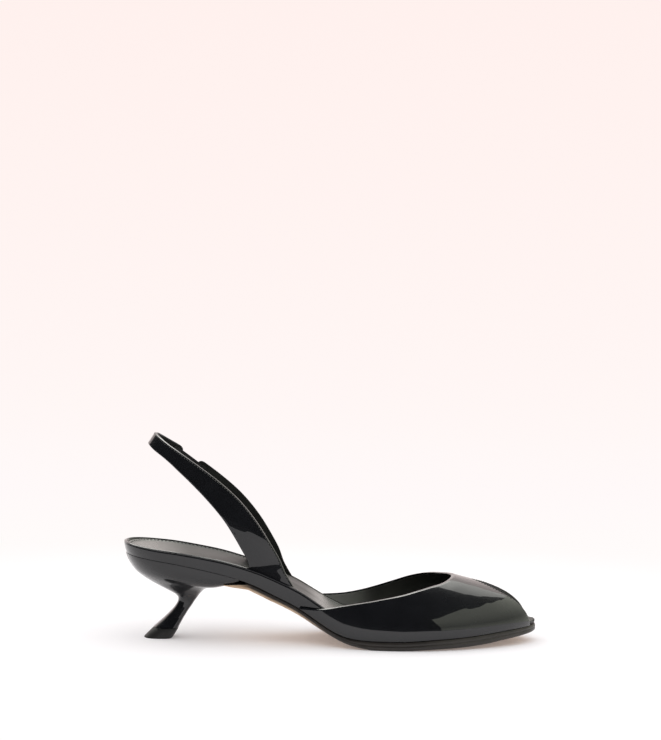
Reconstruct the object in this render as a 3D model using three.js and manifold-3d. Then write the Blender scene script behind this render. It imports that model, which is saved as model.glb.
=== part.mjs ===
// A right slingback shoe with a peep toe and a low flared heel, made as its maker puts it together:
// outsole, heel and heel tip, a wrapped footbed with its sock, a lasted vamp, and a sling of two
// straps joined by an elastic. Millimetres; +X runs to the toe, +Y to the inner side, +Z up.
import * as THREE from "three";
import Module from "manifold-3d";

const wasm = await Module();
wasm.setup();

// Driving dimensions
const shoeLength = 236.6; // heel back to sole tip, along the floor
const ballWidth = 76; // last bottom at the ball
const waistWidth = 47.6; // last bottom at the arch
const seatWidth = 51; // last bottom at the heel seat
const heelHeight = 49; // floor to the seat line, at the back
const toeSpring = 5.2; // rise of the feather line from the ball to the tip
const soleThickness = 4.8; // outsole at the forefoot
const soleProud = 0.9; // outsole beyond the last, round the forefoot
const soleChamfer = 0.8; // bottom edge of the outsole
const bandHeight = 7; // wrapped side of the footbed, at the heel
const bandLean = 1.3; // how far the band draws in at its foot
const rimWidth = 1.4; // edge of the footbed that stands round the sock
const rimProud = 0.4; // rim above the sock
const rimRound = 0.35; // the rim's rounded outer corner
const sockThickness = 1.5;
const sockDish = 1.6; // hollow of the heel seat
const sockEdge = 0.3; // rounding of the sock's top edge
const toeWrap = 3.4; // length of the sock's nose, which covers the footbed's tip
const vampHeight = 31.2; // throat above the feather line
const vampWall = 1.6;
const vampProud = 0.6; // vamp beyond the last where it is lasted
const vampBulge = 1.7; // fullness of the wall above the feather line
const throatAt = 187.6; // throat, from the heel back
const peepAt = 201.5; // point of the toe opening, from the heel back
const peepWidth = 22; // toe opening, side to side
const slingHeight = 117.4; // top of the sling above the floor
const strapThickness = 1.8;
const strapDepth = 3.5; // how far the straps reach into the footbed
const loopWidth = 42; // sling, side to side, outside the heel curve
const loopRadius = 22; // length of the sling's round back
const innerBowDepth = 1.4; // how far the inner strap bows ahead of the outer one
const elasticLap = 0.045; // how far the elastic runs behind each strap, as a share of half the sling
const elasticThickness = 1.2;
const elasticShare = 0.66; // width of the elastic as a share of the strap's
const tipHeight = 5.7; // heel tip
const tipWidth = 17.6; // heel tip, side to side, on the floor
const neckWidth = 11.6; // thinnest part of the heel, side to side
const clearance = 0.3; // between pieces that meet
const nudge = 0.02; // keeps a section just off the very end of an outline

// Colours, taken from the finishes of the real pieces
const finishes = {
  patent: { color: 0x0c0d0f, roughness: 0.06, metalness: 0 },
  sockLeather: { color: 0x2b2b2a, roughness: 0.45, metalness: 0 },
  soleLeather: { color: 0xb88a68, roughness: 0.55, metalness: 0 },
  tipPlastic: { color: 0x141414, roughness: 0.5, metalness: 0 },
  elasticWeave: { color: 0x121212, roughness: 0.8, metalness: 0 },
};

const lerp = THREE.MathUtils.lerp;
const clamp = THREE.MathUtils.clamp;
const smoothstep = THREE.MathUtils.smoothstep;

// A smooth curve through the rows of a table that never overshoots them (monotone cubic).
function curve(rows, from, to) {
  const x = rows.map((r) => r[from]);
  const y = rows.map((r) => r[to]);
  const last = x.length - 1;
  const step = x.slice(1).map((v, i) => (y[i + 1] - y[i]) / (v - x[i]));
  const slope = x.map((_, i) => {
    if (i === 0) return step[0];
    if (i === last) return step[last - 1];
    const turns = step[i - 1] * step[i] <= 0;
    return turns ? 0 : (2 * step[i - 1] * step[i]) / (step[i - 1] + step[i]);
  });
  return (at) => {
    const v = clamp(at, x[0], x[last]);
    let i = 0;
    while (i < last - 1 && v > x[i + 1]) i += 1;
    const span = x[i + 1] - x[i];
    const t = (v - x[i]) / span;
    const rise = t * t * (3 - 2 * t);
    const leave = t * (1 - t) * (1 - t) * span * slope[i];
    const arrive = t * t * (t - 1) * span * slope[i + 1];
    return y[i] + (y[i + 1] - y[i]) * rise + leave + arrive;
  };
}

// The last, seen from the side: the feather line, where upper and sole meet.
// rise is a share of the drop from heel to ball, lift a share of the toe spring.
const featherRows = [
  { along: 0, rise: 1, lift: 0 },
  { along: 0.062, rise: 0.961, lift: 0 },
  { along: 0.107, rise: 0.927, lift: 0 },
  { along: 0.137, rise: 0.8975, lift: 0 },
  { along: 0.167, rise: 0.8655, lift: 0 },
  { along: 0.197, rise: 0.8315, lift: 0 },
  { along: 0.2265, rise: 0.795, lift: 0 },
  { along: 0.256, rise: 0.752, lift: 0 },
  { along: 0.2865, rise: 0.7005, lift: 0 },
  { along: 0.323, rise: 0.622, lift: 0 },
  { along: 0.347, rise: 0.558, lift: 0 },
  { along: 0.377, rise: 0.4805, lift: 0 },
  { along: 0.403, rise: 0.4145, lift: 0 },
  { along: 0.418, rise: 0.371, lift: 0 },
  { along: 0.433, rise: 0.3235, lift: 0 },
  { along: 0.448, rise: 0.271, lift: 0 },
  { along: 0.463, rise: 0.2185, lift: 0 },
  { along: 0.478, rise: 0.1665, lift: 0 },
  { along: 0.4925, rise: 0.1205, lift: 0 },
  { along: 0.507, rise: 0.08, lift: 0 },
  { along: 0.522, rise: 0.048, lift: 0 },
  { along: 0.536, rise: 0.027, lift: 0 },
  { along: 0.551, rise: 0.0135, lift: 0 },
  { along: 0.566, rise: 0.0055, lift: 0 },
  { along: 0.6, rise: 0, lift: 0 },
  { along: 0.66, rise: 0, lift: 0 },
  { along: 0.7, rise: 0, lift: 0.106 },
  { along: 0.74, rise: 0, lift: 0.221 },
  { along: 0.79, rise: 0, lift: 0.317 },
  { along: 0.83, rise: 0, lift: 0.423 },
  { along: 0.857, rise: 0, lift: 0.52 },
  { along: 0.889, rise: 0, lift: 0.654 },
  { along: 0.92, rise: 0, lift: 0.788 },
  { along: 0.955, rise: 0, lift: 0.894 },
  { along: 1.0, rise: 0, lift: 1.0 },
];

// The last's bottom, seen from above: each half width mixes the three stated widths,
// and centre is where its middle lies, as a share of the ball's width.
const outlineRows = [
  { along: 0.0, seat: 1, waist: 0, ball: 0, centre: 0 },
  { along: 0.19, seat: 1, waist: 0, ball: 0, centre: 0 },
  { along: 0.29, seat: 0.45, waist: 0.55, ball: 0, centre: -0.006 },
  { along: 0.37, seat: 0, waist: 1, ball: 0, centre: -0.014 },
  { along: 0.44, seat: 0, waist: 0.84, ball: 0.16, centre: -0.022 },
  { along: 0.51, seat: 0, waist: 0.46, ball: 0.54, centre: -0.034 },
  { along: 0.57, seat: 0, waist: 0.18, ball: 0.82, centre: -0.045 },
  { along: 0.63, seat: 0, waist: 0.04, ball: 0.96, centre: -0.052 },
  { along: 0.68, seat: 0, waist: 0, ball: 1, centre: -0.05 },
  { along: 0.78, seat: 0, waist: 0, ball: 1, centre: -0.028 },
  { along: 0.9, seat: 0, waist: 0, ball: 1, centre: 0.014 },
  { along: 1.0, seat: 0, waist: 0, ball: 1, centre: 0.036 },
];
const heelRound = 27; // length of the round back of the outline
const toeRound = 71; // length of the almond toe of the outline
const toePoint = 1.6; // 2 would be a plain ellipse, less is more pointed

const riseAt = curve(featherRows, "along", "rise");
const liftAt = curve(featherRows, "along", "lift");
const seatAt = curve(outlineRows, "along", "seat");
const waistAt = curve(outlineRows, "along", "waist");
const ballAt = curve(outlineRows, "along", "ball");
const centreAt = curve(outlineRows, "along", "centre");

const lastTip = shoeLength - soleProud;
const soleTop = soleThickness + clearance;

function feather(x) {
  const along = x / shoeLength;
  return soleTop + (heelHeight - soleTop) * riseAt(along) + toeSpring * liftAt(along);
}

function centre(x) {
  return ballWidth * centreAt(x / shoeLength);
}

// Half the width of the last's bottom at x, with the whole outline grown outwards.
function halfWidth(x, grow = 0) {
  const along = x / shoeLength;
  const widths = seatAt(along) * seatWidth + waistAt(along) * waistWidth + ballAt(along) * ballWidth;
  const back = clamp((x + grow) / (heelRound + grow), 0, 1);
  const front = clamp((lastTip + grow - x) / (toeRound + grow), 0, 1);
  const heelShare = Math.sqrt(1 - (1 - back) ** 2);
  const toeShare = Math.sqrt(1 - (1 - front) ** toePoint);
  return Math.max(0, (widths / 2 + grow) * heelShare * toeShare);
}

// Stations along the shoe, closer together where the outline turns round at its ends.
const endTurn = [0.07, 0.16, 0.28, 0.42, 0.6, 0.8]; // shares of the quarter turn at a round end

function stations(start, end, middleCount, roundStart, roundEnd) {
  const round = (t, reach) => reach * (1 - Math.cos((t * Math.PI) / 2));
  const list = [];
  const first = start + roundStart;
  const final = end - roundEnd;
  if (roundStart) endTurn.forEach((t) => list.push(start + round(t, roundStart)));
  for (let i = 0; i <= middleCount; i += 1) list.push(lerp(first, final, i / middleCount));
  if (roundEnd) [...endTurn].reverse().forEach((t) => list.push(end - round(t, roundEnd)));
  return list;
}

// A solid from points and triangles, turned so that its faces look outwards.
function solidFrom(points, triangles) {
  const vertProperties = new Float32Array(points.flatMap((p) => [p.x, p.y, p.z]));
  const made = new wasm.Manifold(
    new wasm.Mesh({ numProp: 3, vertProperties, triVerts: new Uint32Array(triangles.flat()) }),
  );
  if (made.volume() > 0) return made;
  const turned = triangles.map(([a, b, c]) => [a, c, b]);
  return new wasm.Manifold(
    new wasm.Mesh({ numProp: 3, vertProperties, triVerts: new Uint32Array(turned.flat()) }),
  );
}

// A solid lofted through closed loops of points, with a fan at each end.
function loft(loops) {
  const count = loops[0].length;
  const points = loops.flat();
  const triangles = [];
  for (let i = 0; i < loops.length - 1; i += 1) {
    for (let k = 0; k < count; k += 1) {
      const a = i * count + k;
      const b = i * count + ((k + 1) % count);
      triangles.push([a, b, a + count], [b, b + count, a + count]);
    }
  }
  [loops[0], loops[loops.length - 1]].forEach((loop, end) => {
    const middle = loop.reduce((sum, p) => sum.add(p), new THREE.Vector3()).divideScalar(count);
    const hub = points.push(middle) - 1;
    const base = end * (loops.length - 1) * count;
    for (let k = 0; k < count; k += 1) {
      const a = base + k;
      const b = base + ((k + 1) % count);
      triangles.push(end ? [a, b, hub] : [b, a, hub]);
    }
  });
  return solidFrom(points, triangles);
}

// A wall between two grids of points of the same size, closed all round its edge.
function wallBetween(outer, inner) {
  const rows = outer.length;
  const columns = outer[0].length;
  const points = [...outer.flat(), ...inner.flat()];
  const far = rows * columns;
  const at = (i, j) => i * columns + j;
  const triangles = [];
  const quad = (a, b, c, d) => triangles.push([a, b, c], [a, c, d]);
  for (let i = 0; i < rows - 1; i += 1) {
    for (let j = 0; j < columns - 1; j += 1) {
      quad(at(i, j), at(i + 1, j), at(i + 1, j + 1), at(i, j + 1));
      quad(far + at(i, j), far + at(i, j + 1), far + at(i + 1, j + 1), far + at(i + 1, j));
    }
  }
  for (let i = 0; i < rows - 1; i += 1) {
    const right = columns - 1;
    quad(at(i, 0), far + at(i, 0), far + at(i + 1, 0), at(i + 1, 0));
    quad(at(i, right), at(i + 1, right), far + at(i + 1, right), far + at(i, right));
  }
  for (let j = 0; j < columns - 1; j += 1) {
    const end = rows - 1;
    quad(at(0, j), at(0, j + 1), far + at(0, j + 1), far + at(0, j));
    quad(at(end, j), far + at(end, j), far + at(end, j + 1), at(end, j + 1));
  }
  return solidFrom(points, triangles);
}

const deepestInset = 0.8; // an edge steps in by no more than this share of the half width
const bluntTip = 0.6; // half the width at which a pointed outline is cut off
const toeSteps = 0.5; // sections crowd over this share of the toe's round

// A plate between two surfaces. side lists where the edge steps in, from foot to top.
function plate({ list, half, top, bottom, columns, side, leanLength = 0 }) {
  const lean = (x, inset) => (leanLength ? inset * clamp(1 - x / leanLength, 0, 1) ** 2 : 0);
  const loops = list.map((x) => {
    const middle = centre(x);
    const low = side[0].inset;
    const high = side[side.length - 1].inset;
    const edge = (hand, s) => {
      const inset = Math.min(s.inset, half(x) * deepestInset);
      const y = middle + hand * (half(x) - inset);
      return new THREE.Vector3(x + lean(x, inset), y, lerp(bottom(x, y), top(x, y), s.share));
    };
    const across = (surface, inset, from, to) => {
      const reach = half(x) - Math.min(inset, half(x) * deepestInset);
      const row = [];
      for (let k = 0; k <= columns; k += 1) {
        const y = middle + reach * lerp(from, to, k / columns);
        row.push(new THREE.Vector3(x + lean(x, inset), y, surface(x, y)));
      }
      return row;
    };
    const between = side.slice(1, -1);
    return [
      ...across(bottom, low, -1, 1),
      ...between.map((s) => edge(1, s)),
      ...across(top, high, 1, -1),
      ...[...between].reverse().map((s) => edge(-1, s)),
    ];
  });
  return loft(loops);
}

// Outsole: under the forefoot and the arch, and thinning to an edge at the heel's breast.
// drop is how far its top lies below the feather line, where the heel's lip runs over it.
const soleRows = [
  { along: 0.24, drop: 1.19, thick: 0.09, edge: -3.2 },
  { along: 0.263, drop: 0.79, thick: 0.177, edge: -3.2 },
  { along: 0.287, drop: 0.354, thick: 0.27, edge: -3.1 },
  { along: 0.302, drop: 0.0625, thick: 0.56, edge: -3.0 },
  { along: 0.317, drop: 0.0625, thick: 0.6, edge: -2.9 },
  { along: 0.347, drop: 0.0625, thick: 0.62, edge: -2.7 },
  { along: 0.377, drop: 0.0625, thick: 0.65, edge: -2.3 },
  { along: 0.403, drop: 0.0625, thick: 0.68, edge: -1.9 },
  { along: 0.433, drop: 0.0625, thick: 0.66, edge: -1.4 },
  { along: 0.463, drop: 0.0625, thick: 0.6, edge: -0.8 },
  { along: 0.49, drop: 0.0625, thick: 0.55, edge: -0.2 },
  { along: 0.507, drop: 0.0625, thick: 0.583, edge: 0.2 },
  { along: 0.536, drop: 0.0625, thick: 0.7, edge: 0.7 },
  { along: 0.566, drop: 0.0625, thick: 0.845, edge: 1.0 },
  { along: 0.6, drop: 0.0625, thick: 1.0, edge: 1.0 },
  { along: 0.66, drop: 0.0625, thick: 1.0, edge: 1.0 },
  { along: 0.708, drop: 0.0625, thick: 1.04, edge: 1.0 },
  { along: 0.755, drop: 0.0625, thick: 1.06, edge: 1.0 },
  { along: 0.805, drop: 0.0625, thick: 1.01, edge: 1.0 },
  { along: 0.857, drop: 0.0625, thick: 0.875, edge: 1.0 },
  { along: 0.912, drop: 0.0625, thick: 0.75, edge: 1.0 },
  { along: 1.0, drop: 0.0625, thick: 0.67, edge: 1.0 },
];
const dropAt = curve(soleRows, "along", "drop");
const thickAt = curve(soleRows, "along", "thick");
const edgeAt = curve(soleRows, "along", "edge");
const soleStart = soleRows[0].along * shoeLength;

function soleUpper(x) {
  return feather(x) - Math.max(clearance, dropAt(x / shoeLength) * soleThickness);
}

function soleUnder(x) {
  const under = soleUpper(x) - thickAt(x / shoeLength) * soleThickness;
  return Math.max(0, under);
}

function makeOutsole(grow = 0) {
  const half = (x) => {
    const edge = edgeAt(x / shoeLength) * soleProud;
    return Math.max(bluntTip, halfWidth(Math.min(x, shoeLength - nudge), edge)) + grow;
  };
  const step = clamp(soleChamfer / soleThickness, 0, 0.5);
  const side = [
    { share: 0, inset: soleChamfer },
    { share: step, inset: 0 },
    { share: 1, inset: 0 },
  ];
  return plate({
    list: stations(soleStart - grow, shoeLength, 40, 0, toeRound * toeSteps),
    half,
    top: (x) => soleUpper(x) + grow,
    bottom: (x) => soleUnder(x) - grow,
    columns: 2,
    side: grow ? [side[0], side[2]] : side,
  });
}

// Footbed: its wrapped band shows from the heel to the vamp, and its rim stands round the sock.
const bandRows = [
  { along: 0, band: 1.0, dish: 1 },
  { along: 0.077, band: 0.96, dish: 1 },
  { along: 0.137, band: 1.045, dish: 1 },
  { along: 0.196, band: 1.105, dish: 0.9 },
  { along: 0.241, band: 1.165, dish: 0.75 },
  { along: 0.286, band: 1.2, dish: 0.55 },
  { along: 0.32, band: 1.28, dish: 0.4 },
  { along: 0.346, band: 1.37, dish: 0.3 },
  { along: 0.395, band: 1.43, dish: 0.2 },
  { along: 0.422, band: 1.46, dish: 0.2 },
  { along: 0.475, band: 1.49, dish: 0.2 },
  { along: 0.51, band: 1.46, dish: 0.2 },
  { along: 0.55, band: 1.2, dish: 0.2 },
  { along: 0.6, band: 0.93, dish: 0.3 },
  { along: 0.65, band: 0.74, dish: 0.3 },
  { along: 0.7, band: 0.6, dish: 0.3 },
  { along: 0.8, band: 0.5, dish: 0.25 },
  { along: 0.9, band: 0.45, dish: 0.2 },
  { along: 0.96, band: 0.4, dish: 0.15 },
  { along: 1.0, band: 0.37, dish: 0.1 },
];
const bandAt = curve(bandRows, "along", "band");
const dishAt = curve(bandRows, "along", "dish");
const rimEnd = 0.47 * shoeLength; // the rim runs under the vamp here and ends
const rimFade = 4; // over this many of its widths

function bandTop(x) {
  return feather(x) + bandHeight * bandAt(x / shoeLength);
}

function sockTop(x, y) {
  const off = clamp((y - centre(x)) / Math.max(halfWidth(x), 1), -1, 1);
  return bandTop(x) - rimProud - sockDish * dishAt(x / shoeLength) * (1 - off * off);
}

function makeFootbedBody() {
  return plate({
    list: stations(0, lastTip - toeWrap - clearance, 40, heelRound, toeRound * toeSteps),
    half: (x) => halfWidth(x),
    top: (x) => bandTop(x),
    bottom: (x) => feather(x),
    columns: 2,
    side: [
      { share: 0, inset: bandLean },
      { share: 0.5, inset: bandLean * 0.3 },
      { share: 0.92, inset: 0 },
      { share: 1, inset: rimRound },
    ],
    leanLength: heelRound,
  });
}

// The room for the sock: inside the rim at the back, and the footbed's whole width in the vamp.
function makeSockPocket() {
  const past = rimWidth + vampWall;
  return plate({
    list: stations(rimWidth + nudge, shoeLength + past, 38, heelRound, toeRound * toeSteps),
    half: (x) => {
      const grow = lerp(-rimWidth, past, smoothstep(x, rimEnd, rimEnd + rimWidth * rimFade));
      return Math.max(bluntTip, halfWidth(Math.min(x, lastTip + grow), grow));
    },
    top: (x) => bandTop(x) + bandHeight,
    bottom: (x, y) => sockTop(x, y) - sockThickness - clearance,
    columns: 6,
    side: [{ share: 0, inset: 0 }, { share: 1, inset: 0 }],
  });
}

// Sock: follows the footbed to the toe, where its nose covers the footbed's tip.
const noseTip = shoeLength - clearance;
const sockWidens = 0.84 * shoeLength; // from here the sock draws out to the last's edge
const sockFull = 0.92 * shoeLength; // and here it has reached it
const noseGrow = 0.6; // the nose swells over this share of its length

function makeSockBody() {
  const inset = rimWidth + clearance;
  const half = (x) => {
    const beside = lerp(-inset, -clearance, smoothstep(x, sockWidens, sockFull));
    const swelling = smoothstep(x, noseTip - toeWrap * noseGrow, noseTip);
    const grow = lerp(beside, soleProud - clearance, swelling);
    return Math.max(bluntTip, halfWidth(Math.min(x, lastTip + grow), grow));
  };
  const sheet = plate({
    list: stations(inset + nudge, noseTip, 38, heelRound, toeRound * toeSteps),
    half,
    top: sockTop,
    bottom: (x, y) => sockTop(x, y) - sockThickness,
    columns: 6,
    side: [
      { share: 0, inset: 0 },
      { share: 0.7, inset: 0 },
      { share: 1, inset: sockEdge },
    ],
  });
  const nose = plate({
    list: stations(lastTip - toeWrap, noseTip, 3, 0, toeWrap),
    half,
    top: (x, y) => sockTop(x, y) - sockThickness / 2,
    bottom: (x) => feather(x),
    columns: 2,
    side: [{ share: 0, inset: 0 }, { share: 1, inset: 0 }],
  });
  return sheet.add(nose);
}

// Vamp: the last's surface. crown is its height along the ridge, over the feather line,
// and outer and inner are the topline on the two sides, all shares of the throat's height.
const crownRows = [
  { along: 0.41, crown: 1.705 },
  { along: 0.5, crown: 1.7 },
  { along: 0.593, crown: 1.49 },
  { along: 0.678, crown: 1.3 },
  { along: 0.742, crown: 1.12 },
  { along: 0.795, crown: 1.0 },
  { along: 0.852, crown: 0.856 },
  { along: 0.886, crown: 0.756 },
  { along: 0.915, crown: 0.663 },
  { along: 0.941, crown: 0.569 },
  { along: 0.966, crown: 0.436 },
  { along: 0.983, crown: 0.288 },
  { along: 1.0, crown: 0.06 },
];
const toplineRows = [
  { toThroat: 0, outer: 0.015, inner: 0.015 },
  { toThroat: 0.07, outer: 0.135, inner: 0.13 },
  { toThroat: 0.12, outer: 0.23, inner: 0.225 },
  { toThroat: 0.17, outer: 0.335, inner: 0.325 },
  { toThroat: 0.26, outer: 0.505, inner: 0.46 },
  { toThroat: 0.36, outer: 0.62, inner: 0.556 },
  { toThroat: 0.45, outer: 0.678, inner: 0.627 },
  { toThroat: 0.55, outer: 0.733, inner: 0.718 },
  { toThroat: 0.65, outer: 0.78, inner: 0.823 },
  { toThroat: 0.72, outer: 0.823, inner: 0.89 },
  { toThroat: 0.8, outer: 0.868, inner: 0.947 },
  { toThroat: 0.87, outer: 0.905, inner: 0.983 },
];
const peepRows = [
  { toTip: 0.0, open: 0.0 },
  { toTip: 0.1, open: 0.26 },
  { toTip: 0.22, open: 0.5 },
  { toTip: 0.38, open: 0.75 },
  { toTip: 0.55, open: 0.92 },
  { toTip: 0.75, open: 1.0 },
  { toTip: 1.0, open: 1.0 },
];
const crownAt = curve(crownRows, "along", "crown");
const peepOpenAt = curve(peepRows, "toTip", "open");
const wingAt = 0.42 * shoeLength; // rear end of the vamp's wings
const sectionPower = 2.05; // 2 is an ellipse, more is squarer
const ridgeShift = 0.03; // ridge towards the inner side, as a share of the ball's width
const bulgeAt = 9; // height of the fullest part of the wall
const throatRound = 1.3; // 2 would turn the throat as an ellipse, less is more pointed
const slimEnd = 20; // where the last's half width falls below this, bulge and ridge fade out
const straightPoints = 0.74; // share of the topline's points that lie before its round U
const cornerPoints = 1.35; // more than 1 crowds the lower edge's points towards the toe

// A point of the last's surface; angle runs over the foot, from 0 outside to pi inside.
function lastPoint(x, angle, grow = vampProud) {
  const side = Math.cos(angle);
  const up = Math.max(0, Math.sin(angle)) ** (2 / sectionPower);
  const out = Math.sign(side) * Math.abs(side) ** (2 / sectionPower);
  const height = vampHeight * crownAt(x / shoeLength) * up;
  const fullness = vampBulge * (height / bulgeAt) * Math.exp(1 - height / bulgeAt);
  const half = halfWidth(Math.min(x, lastTip), grow);
  const roomy = clamp(half / slimEnd, 0, 1);
  const ridge = ballWidth * ridgeShift * up * up * roomy;
  const y = centre(x) + ridge - out * (half + fullness * roomy);
  return new THREE.Vector3(x, y, feather(x) + height);
}

function lastNormal(x, angle) {
  const dx = lastPoint(x + nudge, angle).sub(lastPoint(x - nudge, angle));
  const da = lastPoint(x, angle + nudge).sub(lastPoint(x, Math.max(angle - nudge, 0)));
  return dx.cross(da).normalize();
}

// The angle on the last at which a wall of this share of the throat's height ends.
function angleAtHeight(x, share) {
  return Math.asin(clamp(share / crownAt(x / shoeLength), 0, 1) ** (sectionPower / 2));
}

// Half the vamp's topline, from the wing's end to the middle of the throat. The last
// stretch turns across the foot as a round U.
function toplinePoints(hand, grow, count) {
  const heights = curve(toplineRows, "toThroat", hand > 0 ? "inner" : "outer");
  const start = wingAt - grow;
  const end = throatAt + grow;
  const turnAt = toplineRows[toplineRows.length - 1].toThroat;
  const list = [];
  for (let i = 0; i <= count; i += 1) {
    const t = i / count;
    const straight = straightPoints;
    if (t <= straight) {
      const x = lerp(start, lerp(start, end, turnAt), t / straight);
      const share = heights((x - start) / (end - start)) + grow / vampHeight;
      list.push({ x, angle: angleAtHeight(x, share) });
    } else {
      const turn = ((t - straight) / (1 - straight)) * (Math.PI / 2);
      const xTurn = lerp(start, end, turnAt);
      const from = angleAtHeight(xTurn, heights(turnAt) + grow / vampHeight);
      const gone = Math.min(1, Math.sin(turn));
      const angle = lerp(from, Math.PI / 2, 1 - Math.sqrt(1 - gone ** throatRound));
      list.push({ x: lerp(xTurn, end, gone), angle });
    }
  }
  return list;
}

// Half the vamp's lower edge: the feather line to the toe, then up the side of the opening.
function lowerEdgePoints(grow, featherCount, peepCount) {
  const apex = peepAt + grow;
  const open = (x) => {
    const toTip = clamp((x - apex) / (lastTip - apex), 0, 1);
    return Math.max(nudge, (peepWidth / 2 - grow) * peepOpenAt(toTip));
  };
  const edgeAtAngle = (angle) => {
    let low = apex;
    let high = lastTip - nudge;
    while (high - low > nudge / 50) {
      const x = (low + high) / 2;
      const across = halfWidth(x, vampProud) * Math.cos(angle) ** (2 / sectionPower);
      if (across > open(x)) low = x;
      else high = x;
    }
    return (low + high) / 2;
  };
  const corner = edgeAtAngle(0);
  const list = [];
  for (let i = 0; i < featherCount; i += 1) {
    const t = i / featherCount;
    const x = lerp(wingAt - grow, corner, 1 - (1 - t) ** cornerPoints);
    list.push({ x, angle: 0, foot: true });
  }
  for (let i = 0; i <= peepCount; i += 1) {
    const t = i / peepCount;
    const angle = (Math.PI / 2) * t;
    const x = t === 1 ? apex : edgeAtAngle(angle);
    list.push({ x, angle, foot: i === 0 });
  }
  return list;
}

function vampGrid(grow, outset, inset, columns, featherCount, peepCount) {
  const half = (hand) => {
    const lower = lowerEdgePoints(grow, featherCount, peepCount);
    const upper = toplinePoints(hand, grow, lower.length - 1);
    return upper.map((u, i) => ({ hand, upper: u, lower: lower[i] }));
  };
  const lines = [...half(-1), ...half(1).reverse().slice(1)];
  const grid = (offset) =>
    lines.map(({ hand, upper, lower }) => {
      const row = [];
      for (let j = 0; j <= columns; j += 1) {
        const t = j / columns;
        const x = lerp(upper.x, lower.x, t);
        const along = lerp(upper.angle, lower.angle, t);
        const angle = hand > 0 ? Math.PI - along : along;
        const p = lastPoint(x, angle);
        const n = lastNormal(x, clamp(angle, nudge, Math.PI - nudge));
        p.addScaledVector(n, offset);
        if (j === columns && lower.foot) p.z = feather(x) - grow;
        row.push(p);
      }
      return row;
    });
  return [grid(outset), grid(-inset)];
}

function makeVamp() {
  return wallBetween(...vampGrid(0, 0, vampWall, 9, 24, 12));
}

function makeVampRoom() {
  return wallBetween(...vampGrid(clearance, clearance, vampWall + clearance, 9, 24, 12));
}

// Sling: rows from the footbed up to where its round back starts. Places are shares of the
// shoe's length, rises are shares of the way from the footbed's edge up to the sling's top.
const slingRows = [
  { turn: 0, topAt: 0.4125, topRise: 0, lowAt: 0.2995, lowRise: 0 },
  { turn: 0.04, topAt: 0.4075, topRise: 0.024, lowAt: 0.2985, lowRise: 0.018 },
  { turn: 0.08, topAt: 0.401, topRise: 0.048, lowAt: 0.297, lowRise: 0.044 },
  { turn: 0.12, topAt: 0.393, topRise: 0.075, lowAt: 0.2925, lowRise: 0.071 },
  { turn: 0.2, topAt: 0.3785, topRise: 0.143, lowAt: 0.2815, lowRise: 0.123 },
  { turn: 0.3, topAt: 0.352, topRise: 0.233, lowAt: 0.2625, lowRise: 0.229 },
  { turn: 0.4, topAt: 0.318, topRise: 0.366, lowAt: 0.238, lowRise: 0.35 },
  { turn: 0.5, topAt: 0.278, topRise: 0.499, lowAt: 0.212, lowRise: 0.444 },
  { turn: 0.6, topAt: 0.23, topRise: 0.626, lowAt: 0.1845, lowRise: 0.544 },
  { turn: 0.72, topAt: 0.1675, topRise: 0.775, lowAt: 0.1495, lowRise: 0.662 },
];
const backRows = [
  { toBack: 0, top: 0.775, low: 0.662 },
  { toBack: 0.22, top: 0.822, low: 0.721 },
  { toBack: 0.43, top: 0.868, low: 0.774 },
  { toBack: 0.65, top: 0.914, low: 0.826 },
  { toBack: 0.86, top: 0.963, low: 0.867 },
  { toBack: 1.0, top: 1.0, low: 0.897 },
];
const sideEnd = slingRows[slingRows.length - 1].turn;
const strapFree = 0.4; // the strap has left the last's outline at this share of its rise
const topAtCurve = curve(slingRows, "turn", "topAt");
const lowAtCurve = curve(slingRows, "turn", "lowAt");
const topRiseCurve = curve(slingRows, "turn", "topRise");
const lowRiseCurve = curve(slingRows, "turn", "lowRise");
const backTopCurve = curve(backRows, "toBack", "top");
const backLowCurve = curve(backRows, "toBack", "low");

// A point of the sling's middle surface. q runs from the outer base (0) round the back (1)
// to the inner base (2); share runs from the low edge to the top edge.
function slingPoint(q, share) {
  const hand = q > 1 ? 1 : -1;
  const turn = q > 1 ? 2 - q : q;
  const onSide = turn <= sideEnd;
  const angle = onSide ? Math.PI / 2 : (Math.PI / 2) * ((1 - turn) / (1 - sideEnd));
  const toBack = Math.max(0, Math.cos(angle));
  const sideTurn = Math.min(turn, sideEnd);
  const topX = topAtCurve(sideTurn) * shoeLength - loopRadius * toBack;
  const lowX = lowAtCurve(sideTurn) * shoeLength - loopRadius * toBack;
  const topRise = onSide ? topRiseCurve(turn) : backTopCurve(toBack);
  const lowRise = onSide ? lowRiseCurve(turn) : backLowCurve(toBack);
  const x = lerp(lowX, topX, share);
  const z = lerp(
    lerp(bandTop(lowX), slingHeight, lowRise),
    lerp(bandTop(topX), slingHeight, topRise),
    share,
  );
  const free = smoothstep(lerp(lowRise, topRise, share), 0, strapFree);
  const base = halfWidth(x, -(rimWidth + clearance + strapThickness / 2));
  const out = lerp(base, loopWidth / 2, free) * Math.sin(angle);
  const bow = Math.sin(Math.PI * clamp(turn / sideEnd, 0, 1)) ** 2;
  const lead = hand > 0 ? innerBowDepth * bow : 0;
  return new THREE.Vector3(x + lead, centre(x) * (1 - free) + hand * out, z);
}

function slingNormal(q, share) {
  const h = nudge / 5;
  const alongLow = slingPoint(Math.max(q - h, 0), share);
  const alongHigh = slingPoint(Math.min(q + h, 2), share);
  const acrossLow = slingPoint(q, Math.max(share - h * 5, 0));
  const acrossHigh = slingPoint(q, Math.min(share + h * 5, 1));
  return acrossHigh.sub(acrossLow).cross(alongHigh.sub(alongLow)).normalize();
}

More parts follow.
